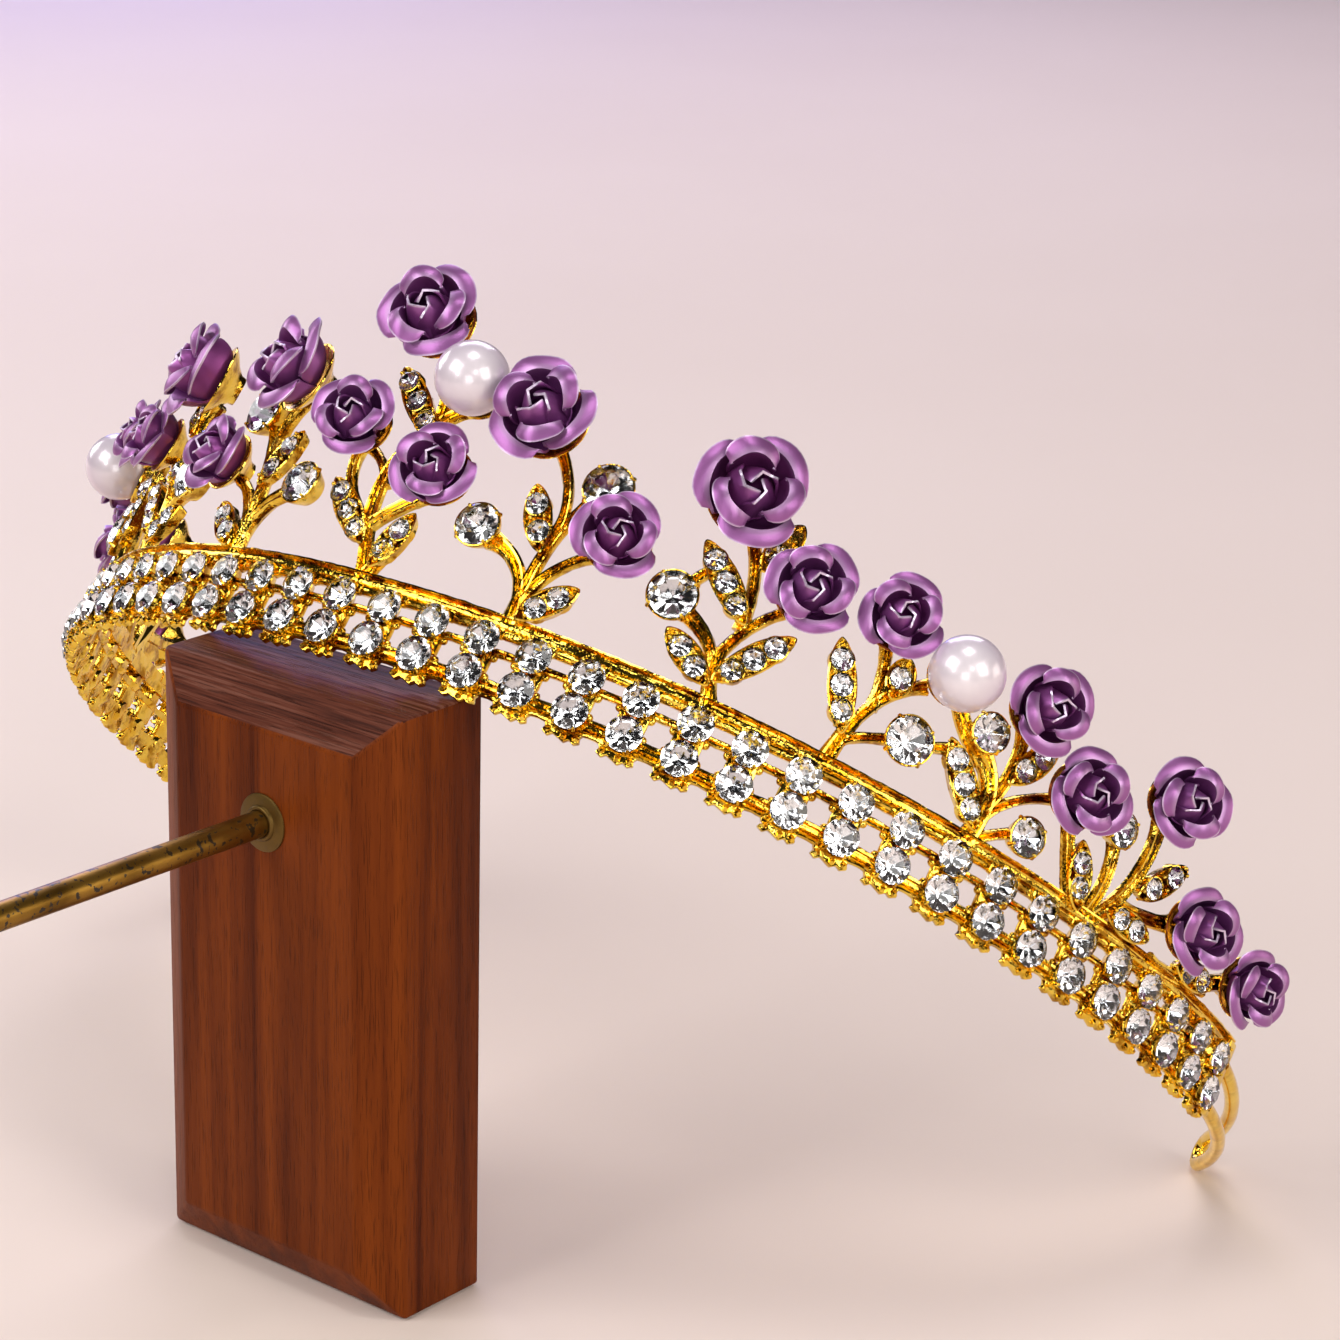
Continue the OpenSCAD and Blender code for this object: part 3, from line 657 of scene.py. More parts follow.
def foil_template():
    bm = drum(FOIL_R, FOIL_DEPTH, FOIL_TOP)
    for slope, count, first_turn, reach in FINE_PAVILION:
        grind(bm, FOIL_GIRDLE, slope, count, first_turn, reach + FOIL_SPREAD)
    top = max(bm.faces, key=lambda face: face.calc_center_median().z)
    bmesh.ops.delete(bm, geom=[top], context="FACES_ONLY")
    bmesh.ops.recalc_face_normals(bm, faces=bm.faces[:])
    bmesh.ops.solidify(bm, geom=bm.faces[:], thickness=FOIL_SKIN)
    bmesh.ops.recalc_face_normals(bm, faces=bm.faces[:])
    return to_template(bm, "foil")


stone_foil = foil_template()
BEHIND_STONE = Matrix.Translation((0, 0, -0.04))


def set_stones(name, seats, template, replaced):
    """Stamp stones and their foils at seats of (place, turn, radius), and make both pieces."""
    stones, foils = bmesh.new(), bmesh.new()
    for place, turn, radius in seats:
        cut = Matrix.Rotation(math.radians(turn), 4, "Z") @ Matrix.Scale(radius, 4)
        stamp(stones, template, place @ cut)
        stamp(foils, stone_foil, place @ BEHIND_STONE @ cut)
    finish_piece(name, stones, [stone_glass], replaced)
    finish_piece(name + "_foils", foils, [foil_silver])


print("foil faces:", len(stone_foil.polygons))

# %% [markdown]
# ## Setting the stones
# Each stone is turned by the golden angle from the one before, so no two neighbours sparkle
# alike. Mirroring a place is only a change of the sign of u, so both arms share one table.

# %% Stones in the band
BAND_STONE_R = 1.93
BAND_SEAT = 0.95
STONE_TURN = 137.5
for row, h in (("upper", ROW_H), ("lower", -ROW_H)):
    row_seats = [(on_wall(u, h, BAND_SEAT), STONE_TURN * k, BAND_STONE_R) for k, u in enumerate(columns)]
    set_stones(f"{row}_row_cut_stones", row_seats, fine_stone, [f"{row}_row_stones"])

# %% Leaf stones and larger stones
LEAF_STONE_R = 1.2
BIG_STONE_TURN = 53
leaf_seats = []
for first, last, count in leaf_rows():
    for k in range(count):
        u, h = first.lerp(last, k / max(count - 1, 1))
        leaf_seats.append((on_wall(u, h, LEAF_SEAT), STONE_TURN * len(leaf_seats), LEAF_STONE_R))
set_stones("leaf_cut_stones", leaf_seats, small_stone, ["leaf_stones"])

for arm, side in ARMS:
    for k, (u, h, diameter) in enumerate(BIG_STONES, 1):
        seat = (on_wall(side * u, h, BIG_SEAT), BIG_STONE_TURN * k, diameter / 2)
        set_stones(f"{arm}_cut_stone_{k}", [seat], fine_stone, [f"{arm}_stone_{k}"])
print("leaf stones:", len(leaf_seats))

# %% [markdown]
# ## Rails of the band
# Long ridged rails run right round the band. An outline across the rail is spun round the
# crown's own axis, and both ends are closed. Each outline has grooves and ridges,
# because those make the bright double lines of the casting. A little noise in the
# vertices gives the uneven edge that a cast rail has. Where a rail meets a cup it has to pass
# behind it, or it would show through the clear stone, so its points there are pushed back.
# The noise starts from a fixed seed, so every run of the script gives the same crown.

# %% Band rails
NOISE_SEED = 7
noise.seed_set(NOISE_SEED)
# corners of each rail: distance out of the wall, h
TOP_RAIL = [
    (-0.8, 3.95), (-0.1, 3.86), (0.28, 4.0), (0.34, 4.25), (0.28, 4.5), (0.0, 4.62), (-0.3, 4.74),
    (-0.25, 4.88), (0.45, 4.94), (0.66, 5.05), (0.6, 5.24), (0.3, 5.32), (-0.8, 5.25),
]
UPPER_BAR = [
    (-0.8, 2.95), (-0.1, 2.85), (0.12, 3.0), (0.02, 3.22), (0.16, 3.45), (0.1, 3.8), (-0.1, 4.0), (-0.8, 4.0),
]
MIDDLE_RAIL = [
    (-0.8, 0.9), (0.0, 0.78), (0.24, 0.94), (0.2, 1.12), (-0.16, 1.25), (0.2, 1.38), (0.24, 1.56),
    (0.0, 1.72), (-0.8, 1.6),
]
LOWER_RAIL = [
    (-0.8, -3.0), (-0.15, -2.98), (0.2, -2.86), (0.22, -2.62), (-0.16, -2.46), (-0.16, -2.36), (0.22, -2.22),
    (0.24, -1.96), (0.0, -1.8), (-0.8, -1.86),
]
LOWER_BAR = [(-0.75, -3.62), (-0.3, -3.66), (-0.02, -3.54), (-0.12, -3.3), (-0.3, -3.06), (-0.75, -2.96)]
RAIL_STEPS = 500
RAIL_BACK = -0.6
THIN_RAIL = 0.25
SCALLOP_H = -3.4
SCALLOP_DROP = 0.22
SCALLOP_WAVE = 0.2
# the cone round each cup that the rails stay behind: height and radius of its floor, slope
CUP_FLOOR = -1.05
CUP_FLOOR_R = 1.0
CUP_SLOPE = 1.76


def wobble(bm, size, reach):
    """Shift every vertex a little, as an uneven casting would."""
    for v in bm.verts:
        v.co += noise.noise_vector(v.co / reach) * size


def bend_behind_cups(v):
    """Hang scallops along the lower edge, and push a rail's point back behind the nearest cup."""
    u = math.atan2(v.co.x, -v.co.y) * BAND_R
    across = u - PITCH * round(max(-LAST_U, min(LAST_U, u)) / PITCH)
    if v.co.z < SCALLOP_H:
        v.co.z -= SCALLOP_DROP + SCALLOP_WAVE * math.cos(2 * math.pi * across / PITCH)
    from_cup = math.hypot(across, v.co.z - math.copysign(ROW_H, v.co.z))
    out = v.co.xy.length - wall_radius(v.co.z)
    skin = THIN_RAIL if out < RAIL_BACK else 0
    deepest = CUP_FLOOR + max(from_cup - CUP_FLOOR_R, 0) * CUP_SLOPE - skin
    v.co.xy *= (wall_radius(v.co.z) + min(out, deepest)) / v.co.xy.length


def spun_rail(bm, outline):
    """Spin an outline round the crown, from one end of the band to the other."""
    half = END_U / BAND_R
    ring = []
    for out, h in outline:
        reach = wall_radius(h) + out
        ring.append(bm.verts.new((-reach * math.sin(half), -reach * math.cos(half), h)))
    first = len(bm.verts) - len(ring)
    bmesh.ops.spin(
        bm, geom=ring + join_ring(bm, ring), cent=(0, 0, 0), axis=(0, 0, 1), angle=2 * half,
        steps=RAIL_STEPS, use_merge=False, use_duplicate=False,
    )
    bm.verts.ensure_lookup_table()
    for v in bm.verts[first:]:
        bend_behind_cups(v)


RAIL_OUTLINES = (TOP_RAIL, UPPER_BAR, MIDDLE_RAIL, LOWER_RAIL, LOWER_BAR)
print("corners of each rail:", [len(outline) for outline in RAIL_OUTLINES])

# %% Spin the rails
rails = bmesh.new()
for outline in RAIL_OUTLINES:
    spun_rail(rails, outline)
bmesh.ops.holes_fill(rails, edges=rails.edges[:], sides=0)
bmesh.ops.recalc_face_normals(rails, faces=rails.faces[:])
wobble(rails, size=0.06, reach=1.3)
wobble(rails, size=0.045, reach=0.5)
bmesh.ops.transform(rails, matrix=CROWN, verts=rails.verts[:])
finish_piece("band_rails", rails, [cast_gold], ["crown_frame"], smooth_angle=40)

# %% [markdown]
# ## Cups and prongs
# Every stone sits in a cup that narrows to the back. The cup is low, so the silver back of
# the stone shows from the side. Four prongs stand round it, and each of them has a short
# finger that reaches in over the stone's edge. A peg is a cone between two points, with a
# small ball on its tip where the metal was pressed round.

# %% Cup and peg
CUP_PROFILE = [
    (0, -1.05), (0.95, -1.05), (1.15, -0.85), (1.6, 0.0), (1.78, 0.3), (1.7, 0.42),
    (1.52, 0.36), (0.5, -0.88), (0, -0.92),
]
PRONG_TURNS = (55, 125, 235, 305)
# each peg of a prong: distance from the cup's axis and height of its foot and of its tip,
# then both radii and its knob
PRONG_PEGS = (((1.75, 0.1), (2.02, 0.85), 0.34, 0.2, 0), ((2.02, 0.75), (1.86, 1.12), 0.2, 0.14, 0.17))


def add_peg(bm, foot, tip, foot_r, tip_r, knob=0):
    """A tapered peg from foot to tip, with a knob on its tip if one is asked for."""
    foot, tip = Vector(foot), Vector(tip)
    way = tip - foot
    place = Matrix.Translation(foot.lerp(tip, 0.5)) @ way.to_track_quat("Z", "Y").to_matrix().to_4x4()
    bmesh.ops.create_cone(
        bm, cap_ends=True, segments=7, radius1=foot_r, radius2=tip_r, depth=way.length, matrix=place,
    )
    if knob:
        bmesh.ops.create_icosphere(bm, subdivisions=2, radius=knob, matrix=Matrix.Translation(tip))


def add_prong(bm, h, turn):
    """A prong on a cup whose middle is at h."""
    x, y = math.cos(math.radians(turn)), math.sin(math.radians(turn))
    for (foot, low), (tip, high), foot_r, tip_r, knob in PRONG_PEGS:
        add_peg(bm, (foot * x, h + foot * y, low), (tip * x, h + tip * y, high), foot_r, tip_r, knob)


cup_mesh = to_template(turned(CUP_PROFILE, steps=22), "band_cup")
print("cup faces:", len(cup_mesh.polygons))

# %% [markdown]
# ## Webs and teeth
# A block of metal ties each pair of cups together, and another ties the upper cup to the
# top rail. Solder ran into the corners, so a flattened drop sits in four of them. Below
# each lower cup hangs a jagged plate whose three longest points turn out into claws. One
# column is drawn flat and stamped once for each pair of cups.

# %% Column of the band
# corners of the plate under a lower cup, seen from the front: x, y from the middle of the cup
TOOTH = [
    (-1.85, -0.9), (-2.15, -1.6), (-1.9, -2.1), (-2.1, -2.6), (-1.4, -2.9), (-0.9, -2.5), (-0.2, -2.75),
    (0.45, -2.98), (0.95, -2.55), (1.5, -2.85), (2.1, -2.5), (1.9, -1.95), (2.2, -1.5), (1.85, -0.9),
]
TOOTH_BACK = -0.6
TOOTH_THICKNESS = 0.75
TOOTH_EASE = 0.1
CLAWS = ((-1.7, -2.45), (0.3, -2.6), (1.7, -2.4))
# foot and tip of a claw: share of its way out, height, radius
CLAW_FOOT = (0.85, -0.3, 0.55)
CLAW_TIP = (1.02, 0.45, 0.24)
# each web: middle, size, ease of its edges
WEBS = (((0, 0, -0.45), (3.3, 2.4, 0.85), 0.3), ((0, 3.4, -0.5), (3.4, 1.3, 0.7), 0.2))
DROP_R = 0.5
DROP_PLACES = [(x, h, -0.4) for x in (-1.74, 1.74) for h in (0.66, -1.62)]


def tooth_template():
    """The jagged plate under a lower cup, with its claws."""
    bm = bmesh.new()
    face = bm.faces.new([bm.verts.new((x, y, TOOTH_BACK)) for x, y in TOOTH])
    front = bmesh.ops.extrude_face_region(bm, geom=[face])["geom"]
    front_verts = [v for v in front if isinstance(v, bmesh.types.BMVert)]
    bmesh.ops.translate(bm, vec=(0, 0, TOOTH_THICKNESS), verts=front_verts)
    bmesh.ops.recalc_face_normals(bm, faces=bm.faces[:])
    bmesh.ops.bevel(
        bm, geom=bm.edges[:], offset=TOOTH_EASE, affect="EDGES", segments=2, profile=0.5, material=-1,
    )
    (foot, low, foot_r), (tip, high, tip_r) = CLAW_FOOT, CLAW_TIP
    for x, y in CLAWS:
        add_peg(bm, (x * foot, y * foot, low), (x * tip, y * tip, high), foot_r, tip_r)
    return to_template(bm, "tooth")


def add_block(bm, place, size, ease, segments=2):
    """A block of three sizes with eased edges, at a place."""
    cube = bmesh.ops.create_cube(bm, size=1, matrix=place @ Matrix.Diagonal((*size, 1)))
    edges = list({e for v in cube["verts"] for e in v.link_edges})
    bmesh.ops.bevel(
        bm, geom=edges, offset=ease, affect="EDGES", segments=segments, profile=0.5, material=-1,
    )


def column_template():
    bm = bmesh.new()
    for h in (ROW_H, -ROW_H):
        stamp(bm, cup_mesh, Matrix.Translation((0, h, 0)))
        for turn in PRONG_TURNS:
            add_prong(bm, h, turn)
    for web_middle, size, ease in WEBS:
        add_block(bm, Matrix.Translation(web_middle), size, ease)
    for corner in DROP_PLACES:
        flat_ball = Matrix.Translation(corner) @ Matrix.Diagonal((1, 1, 0.8, 1))
        bmesh.ops.create_icosphere(bm, subdivisions=2, radius=DROP_R, matrix=flat_ball)
    stamp(bm, tooth_template(), Matrix.Translation((0, -ROW_H, 0)))
    return to_template(bm, "band_column")


column = column_template()
print("column faces:", len(column.polygons))

# %% Stamp the columns
cups = bmesh.new()
for u in columns:
    stamp(cups, column, on_wall(u, 0))
wobble(cups, size=0.045, reach=0.9)
finish_piece("band_columns", cups, [cast_gold], smooth_angle=38)

# %% [markdown]
# ## Stems
# The stems are cast with a deep groove on each side of a middle ridge. An outline with
# those grooves is drawn along a curve from ring to ring, and every ring has the direction
# of the curve, the way out of the wall and the width of the stem there. A stem is a little
# thicker at both ends, as if it grew there. On the left arm a stem that carries a rose has
# to end where that rose sits, so its end moves by the difference between that rose and the
# mirror image of its partner.

# %% Stems of the sprays
# corners of a stem's cross-section: across, out
STEM_OUTLINE = [
    (-1, -0.45), (-1, 0.05), (-0.72, 0.4), (-0.45, 0.36), (-0.3, 0.12), (0, 0.5), (0.3, 0.12),
    (0.45, 0.36), (0.72, 0.4), (1, 0.05), (1, -0.45), (0.55, -0.9), (-0.55, -0.9),
]
STEM_STEPS = 14
STEM_WAIST = 0.9
STEM_FLARE = 0.28
STEM_UNEVEN = 0.07


def curve_point(start, pull, end, t):
    """The point at share t of a curve that leaves its start towards the pull point."""
    return start * (1 - t) ** 2 + pull * 2 * t * (1 - t) + end * t * t


def stem_rings(start, pull, end, first_w, last_w):
    line = [curve_point(start, pull, end, k / STEM_STEPS) for k in range(STEM_STEPS + 1)]
    rings = []
    for k, point in enumerate(line):
        way = line[min(k + 1, STEM_STEPS)] - line[max(k - 1, 0)]
        t = k / STEM_STEPS
        uneven = STEM_UNEVEN * noise.noise((point.x * 1.7, point.y * 1.7, 0))
        width = first_w + (last_w - first_w) * t
        width *= STEM_WAIST + STEM_FLARE * (2 * t - 1) ** 4 + uneven
        place = on_wall(point.x, point.y) @ Matrix.Rotation(math.atan2(way.y, way.x), 4, "Z")
        rings.append([place @ Vector((0, y * width / 2, z)) for y, z in STEM_OUTLINE])
    return rings


print("corners across a stem:", len(STEM_OUTLINE))

# %% Draw the stems
stems = bmesh.new()
for row in CENTRE_STEMS:
    draw_rings(stems, stem_rings(Vector(row[:2]), Vector(row[2:4]), Vector(row[4:6]), row[6], row[7]))
for _, side in ARMS:
    for row in arm_stems(side):
        draw_rings(stems, stem_rings(*row))
bmesh.ops.recalc_face_normals(stems, faces=stems.faces[:])
wobble(stems, size=0.05, reach=1.1)
finish_piece("spray_stems", stems, [cast_gold], smooth_angle=32)

# %% [markdown]
# ## Leaves
# A leaf is a shallow tray with pointed ends and a raised rim. It starts as a drum whose
# round outline is stretched and pinched, and its top is inset and pushed down. The small
# stones sit in rings on its floor, and beads of metal stand between them as prongs.

# %% Leaf trays
LEAF_W = 3.2
LEAF_POINT = 2.45
LONE_LEAF_GAP = 2.6
# the tray's drum: radius of its foot, depth, how far its sides are pinched in to a point,
# and how much higher its middle stands than its points
TRAY_FOOT = 0.86
TRAY_DEPTH = 1.25
TRAY_PINCH = 0.6
TRAY_RISE = 0.12
POINT_DROP = 0.15
# how far out a bead stands between two stones, and near the points
BEAD_Y = 0.78
END_BEAD_Y = 0.428
LEAF_RING = [(1.05, -0.3), (1.4, -0.3), (1.42, 0.5), (1.36, 0.8), (1.26, 0.82), (1.22, 0.6)]
# each inset of the tray's top: thickness, then how far it rises
RIM_INSETS = ((0.16, 0.12), (0.12, -0.1), (0.04, -0.75))
ring_mesh = to_template(turned_ring(LEAF_RING, 16), "leaf_ring")


def tray_template(half_length):
    bm = bmesh.new()
    bmesh.ops.create_cone(bm, cap_ends=True, segments=30, radius1=TRAY_FOOT, radius2=1, depth=TRAY_DEPTH)
    for v in bm.verts:
        v.co.y *= LEAF_W / 2 * (1 - TRAY_PINCH + TRAY_PINCH * abs(v.co.y) ** 0.6)
        v.co.z += TRAY_RISE - POINT_DROP * v.co.x ** 2
        v.co.x *= half_length
    top = max(bm.faces, key=lambda face: face.calc_center_median().z)
    for thickness, rise in RIM_INSETS:
        bmesh.ops.inset_region(bm, faces=[top], thickness=thickness, depth=rise, use_even_offset=True)
    return to_template(bm, "leaf_tray")


def bead_template():
    bm = bmesh.new()
    add_peg(bm, (0, 0, -0.2), (0, 0, 0.92), 0.32, 0.22, 0.25)
    return to_template(bm, "leaf_bead")


bead_mesh = bead_template()
print("leaf ring faces:", len(ring_mesh.polygons), "bead faces:", len(bead_mesh.polygons))

# %% Stamp the leaves
leaves = bmesh.new()
for first, last, count in leaf_rows():
    middle, span = (first + last) / 2, (last - first).length
    angle = math.atan2(last.y - first.y, last.x - first.x) if span > 0 else math.pi / 2
    place = on_wall(middle.x, middle.y) @ Matrix.Rotation(angle, 4, "Z")
    stamp(leaves, tray_template(span / 2 + LEAF_POINT), place)
    for k in range(count):
        x = -span / 2 + span * k / max(count - 1, 1)
        stamp(leaves, ring_mesh, place @ Matrix.Translation((x, 0, 0)))
    gap = span / (count - 1) if count > 1 else LONE_LEAF_GAP
    start = -span / 2 if count > 1 else 0
    for k in range(count + 1):
        y = BEAD_Y if 0 < k < count else END_BEAD_Y
        for side in (-1, 1):
            stamp(leaves, bead_mesh, place @ Matrix.Translation((start + gap * (k - 0.5), side * y, 0)))
wobble(leaves, size=0.035, reach=0.8)
finish_piece("leaf_trays", leaves, [cast_gold], smooth_angle=35)

# %% [markdown]
# ## Bezels, dishes and pearl cups
# The larger stones are held by a thin wall of metal all round, called a bezel. A rose is
# glued into a shallow dish, and a pearl into a smaller cup with a pin in its middle. All
# of these are turned shapes that differ in their profile, and a bezel has four prongs on
# its rim besides.

# %% Turned seats
PEARL_CUP = [
    (0, -0.9), (1.9, -0.9), (2.1, -0.4), (3.0, 0.9), (3.2, 1.3), (3.12, 1.5), (2.95, 1.48), (2.85, 1.2),
    (1.5, 0.3), (0.45, 0.2), (0.45, 2.2), (0.3, 2.4), (0, 2.4),
]


def bezel_template(r):
    """A wall round a stone of radius r, with four prongs on its rim."""
    bm = turned([
        (0, -0.98), (r * 0.55, -0.98), (r * 0.8, -0.7), (r + 0.02, 0.4), (r + 0.2, 0.95), (r + 0.24, 1.25),
        (r + 0.18, 1.36), (r + 0.08, 1.38), (r + 0.04, 1.2), (0.4, -0.84), (0, -0.88),
    ], steps=30)
    for turn in (45, 135, 225, 315):
        x, y = math.cos(math.radians(turn)), math.sin(math.radians(turn))
        add_peg(bm, ((r + 0.2) * x, (r + 0.2) * y, 0.9), (r * x, r * y, 1.6), 0.28, 0.16, 0.2)
    return to_template(bm, "bezel")


def dish_template(r):
    """The flared dish behind a rose of radius r."""
    profile = [
        (0, -0.9), (r * 0.28, -0.9), (r * 0.3, -0.3), (r * 0.42, 0.4), (r * 0.64, 1.2), (r * 0.73, 1.7),
        (r * 0.72, 1.85), (r * 0.68, 1.85), (r * 0.6, 1.5), (r * 0.38, 0.8), (0, 0.65),
    ]
    return to_template(turned(profile), "dish")


pearl_cup = to_template(turned(PEARL_CUP), "pearl_cup")
print("pearl cup faces:", len(pearl_cup.polygons))

# %% Stamp the seats
seats = bmesh.new()
for _, side in ARMS:
    for u, h, diameter in BIG_STONES:
        stamp(seats, bezel_template(diameter / 2), on_wall(side * u, h))
for u, h, diameter, swing, _ in ALL_ROSES:
    stamp(seats, dish_template(diameter / 2), on_wall(u, h, swing=swing))
for u, h in PEARLS:
    stamp(seats, pearl_cup, on_wall(u, h))
wobble(seats, size=0.03, reach=1.2)
finish_piece("spray_seats", seats, [cast_gold], smooth_angle=35)

# %% [markdown]
# ## End bars and loops
# A short bar closes the rails at each end. From it a loop of plain round wire runs on and
# bends in towards the head, and a hairpin goes through it. The path runs along the upper
# limb, round the tip and back along the lower limb. The right loop is made first, and the
# left one is its mirror image.

# %% Wire loops
LOOP_L = 27.2
LOOP_IN = 9.7
TIP_R = 1.6
TIP_H = -2.1
WIRE_R = 0.85
TIP_GAP = 0.95
# height of each limb's start: upper, lower
LIMB_STARTS = (2.2, -2.9)
LIMB_STEPS = 12
BAR_MIDDLE = (-0.7, 0.45, -0.1)
BAR_SIZE = (2.2, 8.9, 1.6)
ROUND_WIRE = [(math.cos(math.radians(30 * k)), math.sin(math.radians(30 * k))) for k in range(12)]


def loop_path():
    """Points of the right loop: x along the band, y up, z out of the wall."""
    bend = (LOOP_L ** 2 + LOOP_IN ** 2) / (2 * LOOP_IN)
    tip_x = LOOP_L - TIP_R - TIP_GAP
    sweep = math.asin(tip_x / bend)
    limbs = []
    for start, end in zip(LIMB_STARTS, (TIP_H + TIP_R, TIP_H - TIP_R)):
        rise = math.asin((end - start) / tip_x)
        limb = []
        for k in range(LIMB_STEPS + 1):
            angle = sweep * k / LIMB_STEPS
            reach, depth = bend * math.sin(angle), bend * (math.cos(angle) - 1)
            limb.append(Vector((reach * math.cos(rise), start + reach * math.sin(rise), depth)))
        limbs.append(limb)
    middle = Vector((tip_x, TIP_H, bend * (math.cos(sweep) - 1)))
    tip = []
    for degrees in range(75, -90, -15):
        out, up = TIP_R * math.cos(math.radians(degrees)), TIP_R * math.sin(math.radians(degrees))
        tip.append(middle + Vector((out * math.cos(sweep), up, -out * math.sin(sweep))))
    return limbs[0] + tip + limbs[1][::-1]


def wire_rings(points):
    """A round ring of points across a wire at each point of its path."""
    rings = []
    for k, point in enumerate(points):
        way = (points[min(k + 1, len(points) - 1)] - points[max(k - 1, 0)]).normalized()
        up = (Vector((0, 0, 1)) - way * way.z).normalized()
        across = up.cross(way)
        rings.append([point + (across * y + up * z) * WIRE_R for y, z in ROUND_WIRE])
    return rings


print("points along a loop:", len(loop_path()))

# %% Loops and end bars
loops = bmesh.new()
draw_rings(loops, wire_rings(loop_path()))
end_place = CROWN.inverted() @ on_wall(END_U, 0, -0.2)
bmesh.ops.transform(loops, matrix=end_place, verts=loops.verts[:])
add_block(loops, end_place @ Matrix.Translation(BAR_MIDDLE), BAR_SIZE, 0.3, segments=3)
right_side = loops.verts[:] + loops.edges[:] + loops.faces[:]
bmesh.ops.mirror(loops, geom=right_side, axis="X", merge_dist=-1)
bmesh.ops.recalc_face_normals(loops, faces=loops.faces[:])
bmesh.ops.transform(loops, matrix=CROWN, verts=loops.verts[:])
finish_piece("end_loops", loops, [wire_gold], smooth_angle=40)

# %% [markdown]
# ## Petals
# A petal of these roses is cut from sheet and pressed into a cup, and its rim is rolled
# outward. A grid is easy to bend into that form: one direction runs across the petal and
# the other from its foot to its rim. Three wide petals stand outside and three more stand
# between them higher up. Each of them leans, so that one of its ends lies over its
# neighbour. All lengths are shares of the rose's radius.

# %% Petals
# foot, belly and top as (radius, height), then half of the petal's angle, then its lean
OUTER_PETAL = ((0.2, 0.05), (0.66, 0.1), (0.72, 0.74), 63, 0.08)
INNER_PETAL = ((0.22, 0.2), (0.54, 0.34), (0.52, 1.0), 53, 0.09)
LIP_START = 0.6
LIP_W = 0.29
# the lip rises at first and then droops
LIP_RISE = 0.14
LIP_DROOP = 0.36
# a petal is lower and closer in at its sides, and narrower at its rim
SIDE_DROP = 0.3
SIDE_TUCK = 0.05
RIM_NARROWING = 0.1
# the value called lip, which paints light and shade: at the top of the cup (painted shade below it), on the
# fold and on the cut edge (painted highlights), and its fall between
CUP_SHADE_LIFT, FOLD_HIGHLIGHT, EDGE_HIGHLIGHT, LIP_LIGHT_FADE = 0.35, 1.25, 1.6, 0.6


def petal(bm, painted_light_layer, turn, foot, belly, top, spread, lean):
    """One cupped petal with a lip that is rolled outward."""
    foot, belly, top = Vector(foot), Vector(belly), Vector(top)
    grid = bmesh.ops.create_grid(bm, x_segments=16, y_segments=15, size=1)["verts"]
    for v in grid:
        side, height = v.co.x, (v.co.y + 1) / 2
        lip = max((height - LIP_START) / (1 - LIP_START), 0)
        r, z = curve_point(foot, belly, top, min(height / LIP_START, 1))
        reach = LIP_W * max(1 - abs(side) ** 3.4, 0) ** 0.5 * lip
        r, z = r + reach, z + reach * (LIP_RISE - LIP_DROOP * lip)
        z = foot.y + (z - foot.y) * (1 - SIDE_DROP * side * side)
        r *= 1 - SIDE_TUCK * side * side + lean * side
        angle = math.radians(turn + spread * side * (1 - RIM_NARROWING * height))
        v.co = (r * math.cos(angle), r * math.sin(angle), z)
        # painted shade low in the cup, painted light on the lip, and a painted highlight on the fold and the
        # cut edge
        on_lip = height > LIP_START - 0.01
        painted_light_value = max(FOLD_HIGHLIGHT - LIP_LIGHT_FADE * lip, EDGE_HIGHLIGHT * lip ** 12)
        v[painted_light_layer] = painted_light_value if on_lip else CUP_SHADE_LIFT * height


print("lip width of a 10 mm rose:", round(LIP_W * 5, 2), "mm")

# %% [markdown]
# ## Bud and rose
# Three folded panels close the bud. The rim of a panel is bent once, and its start lies
# under the next panel, so the rims draw a small pinwheel with a painted highlight. The petals get the
# thickness of the sheet, and a turned foot closes the rose from below.

# %% Rose template
# corners of a bud panel's rim: radius, turn, height
BUD_RIM = ((0.12, 0, 0.95), (0.21, -96, 1.06), (0.37, -150, 0.96))
# foot of a panel: radius, height, turn of its start, and how far it runs round with the rim
BUD_FOOT_R = 0.45
BUD_FOOT_H = 0.42
BUD_FOOT_TURN = -25
BUD_FOOT_SWEEP = -82
BUD_BULGE = 0.1
SHEET = 0.042
ROSE_FOOT_PROFILE = [(0, 0), (0.26, 0.01), (0.42, 0.12), (0.46, 0.36), (0.3, 0.44), (0, 0.44)]


def round_point(r, degrees, z):
    return Vector((r * math.cos(math.radians(degrees)), r * math.sin(math.radians(degrees)), z))


def bud_panel(bm, painted_light_layer, turn):
    """One folded panel of the bud."""
    start, fold, end = (round_point(r, turn + angle, z) for r, angle, z in BUD_RIM)
    grid = bmesh.ops.create_grid(bm, x_segments=12, y_segments=6, size=1)["verts"]
    for v in grid:
        along, height = v.co.x + 1, (v.co.y + 1) / 2
        rim = start.lerp(fold, along) if along <= 1 else fold.lerp(end, along - 1)
        foot = round_point(BUD_FOOT_R, turn + BUD_FOOT_TURN + BUD_FOOT_SWEEP * along, BUD_FOOT_H)
        v.co = foot.lerp(rim, height) + Vector((0, 0, BUD_BULGE * math.sin(math.pi * height)))
        # the rim of a panel gets a painted highlight
        v[painted_light_layer] = 0.2 + EDGE_HIGHLIGHT * height ** 8


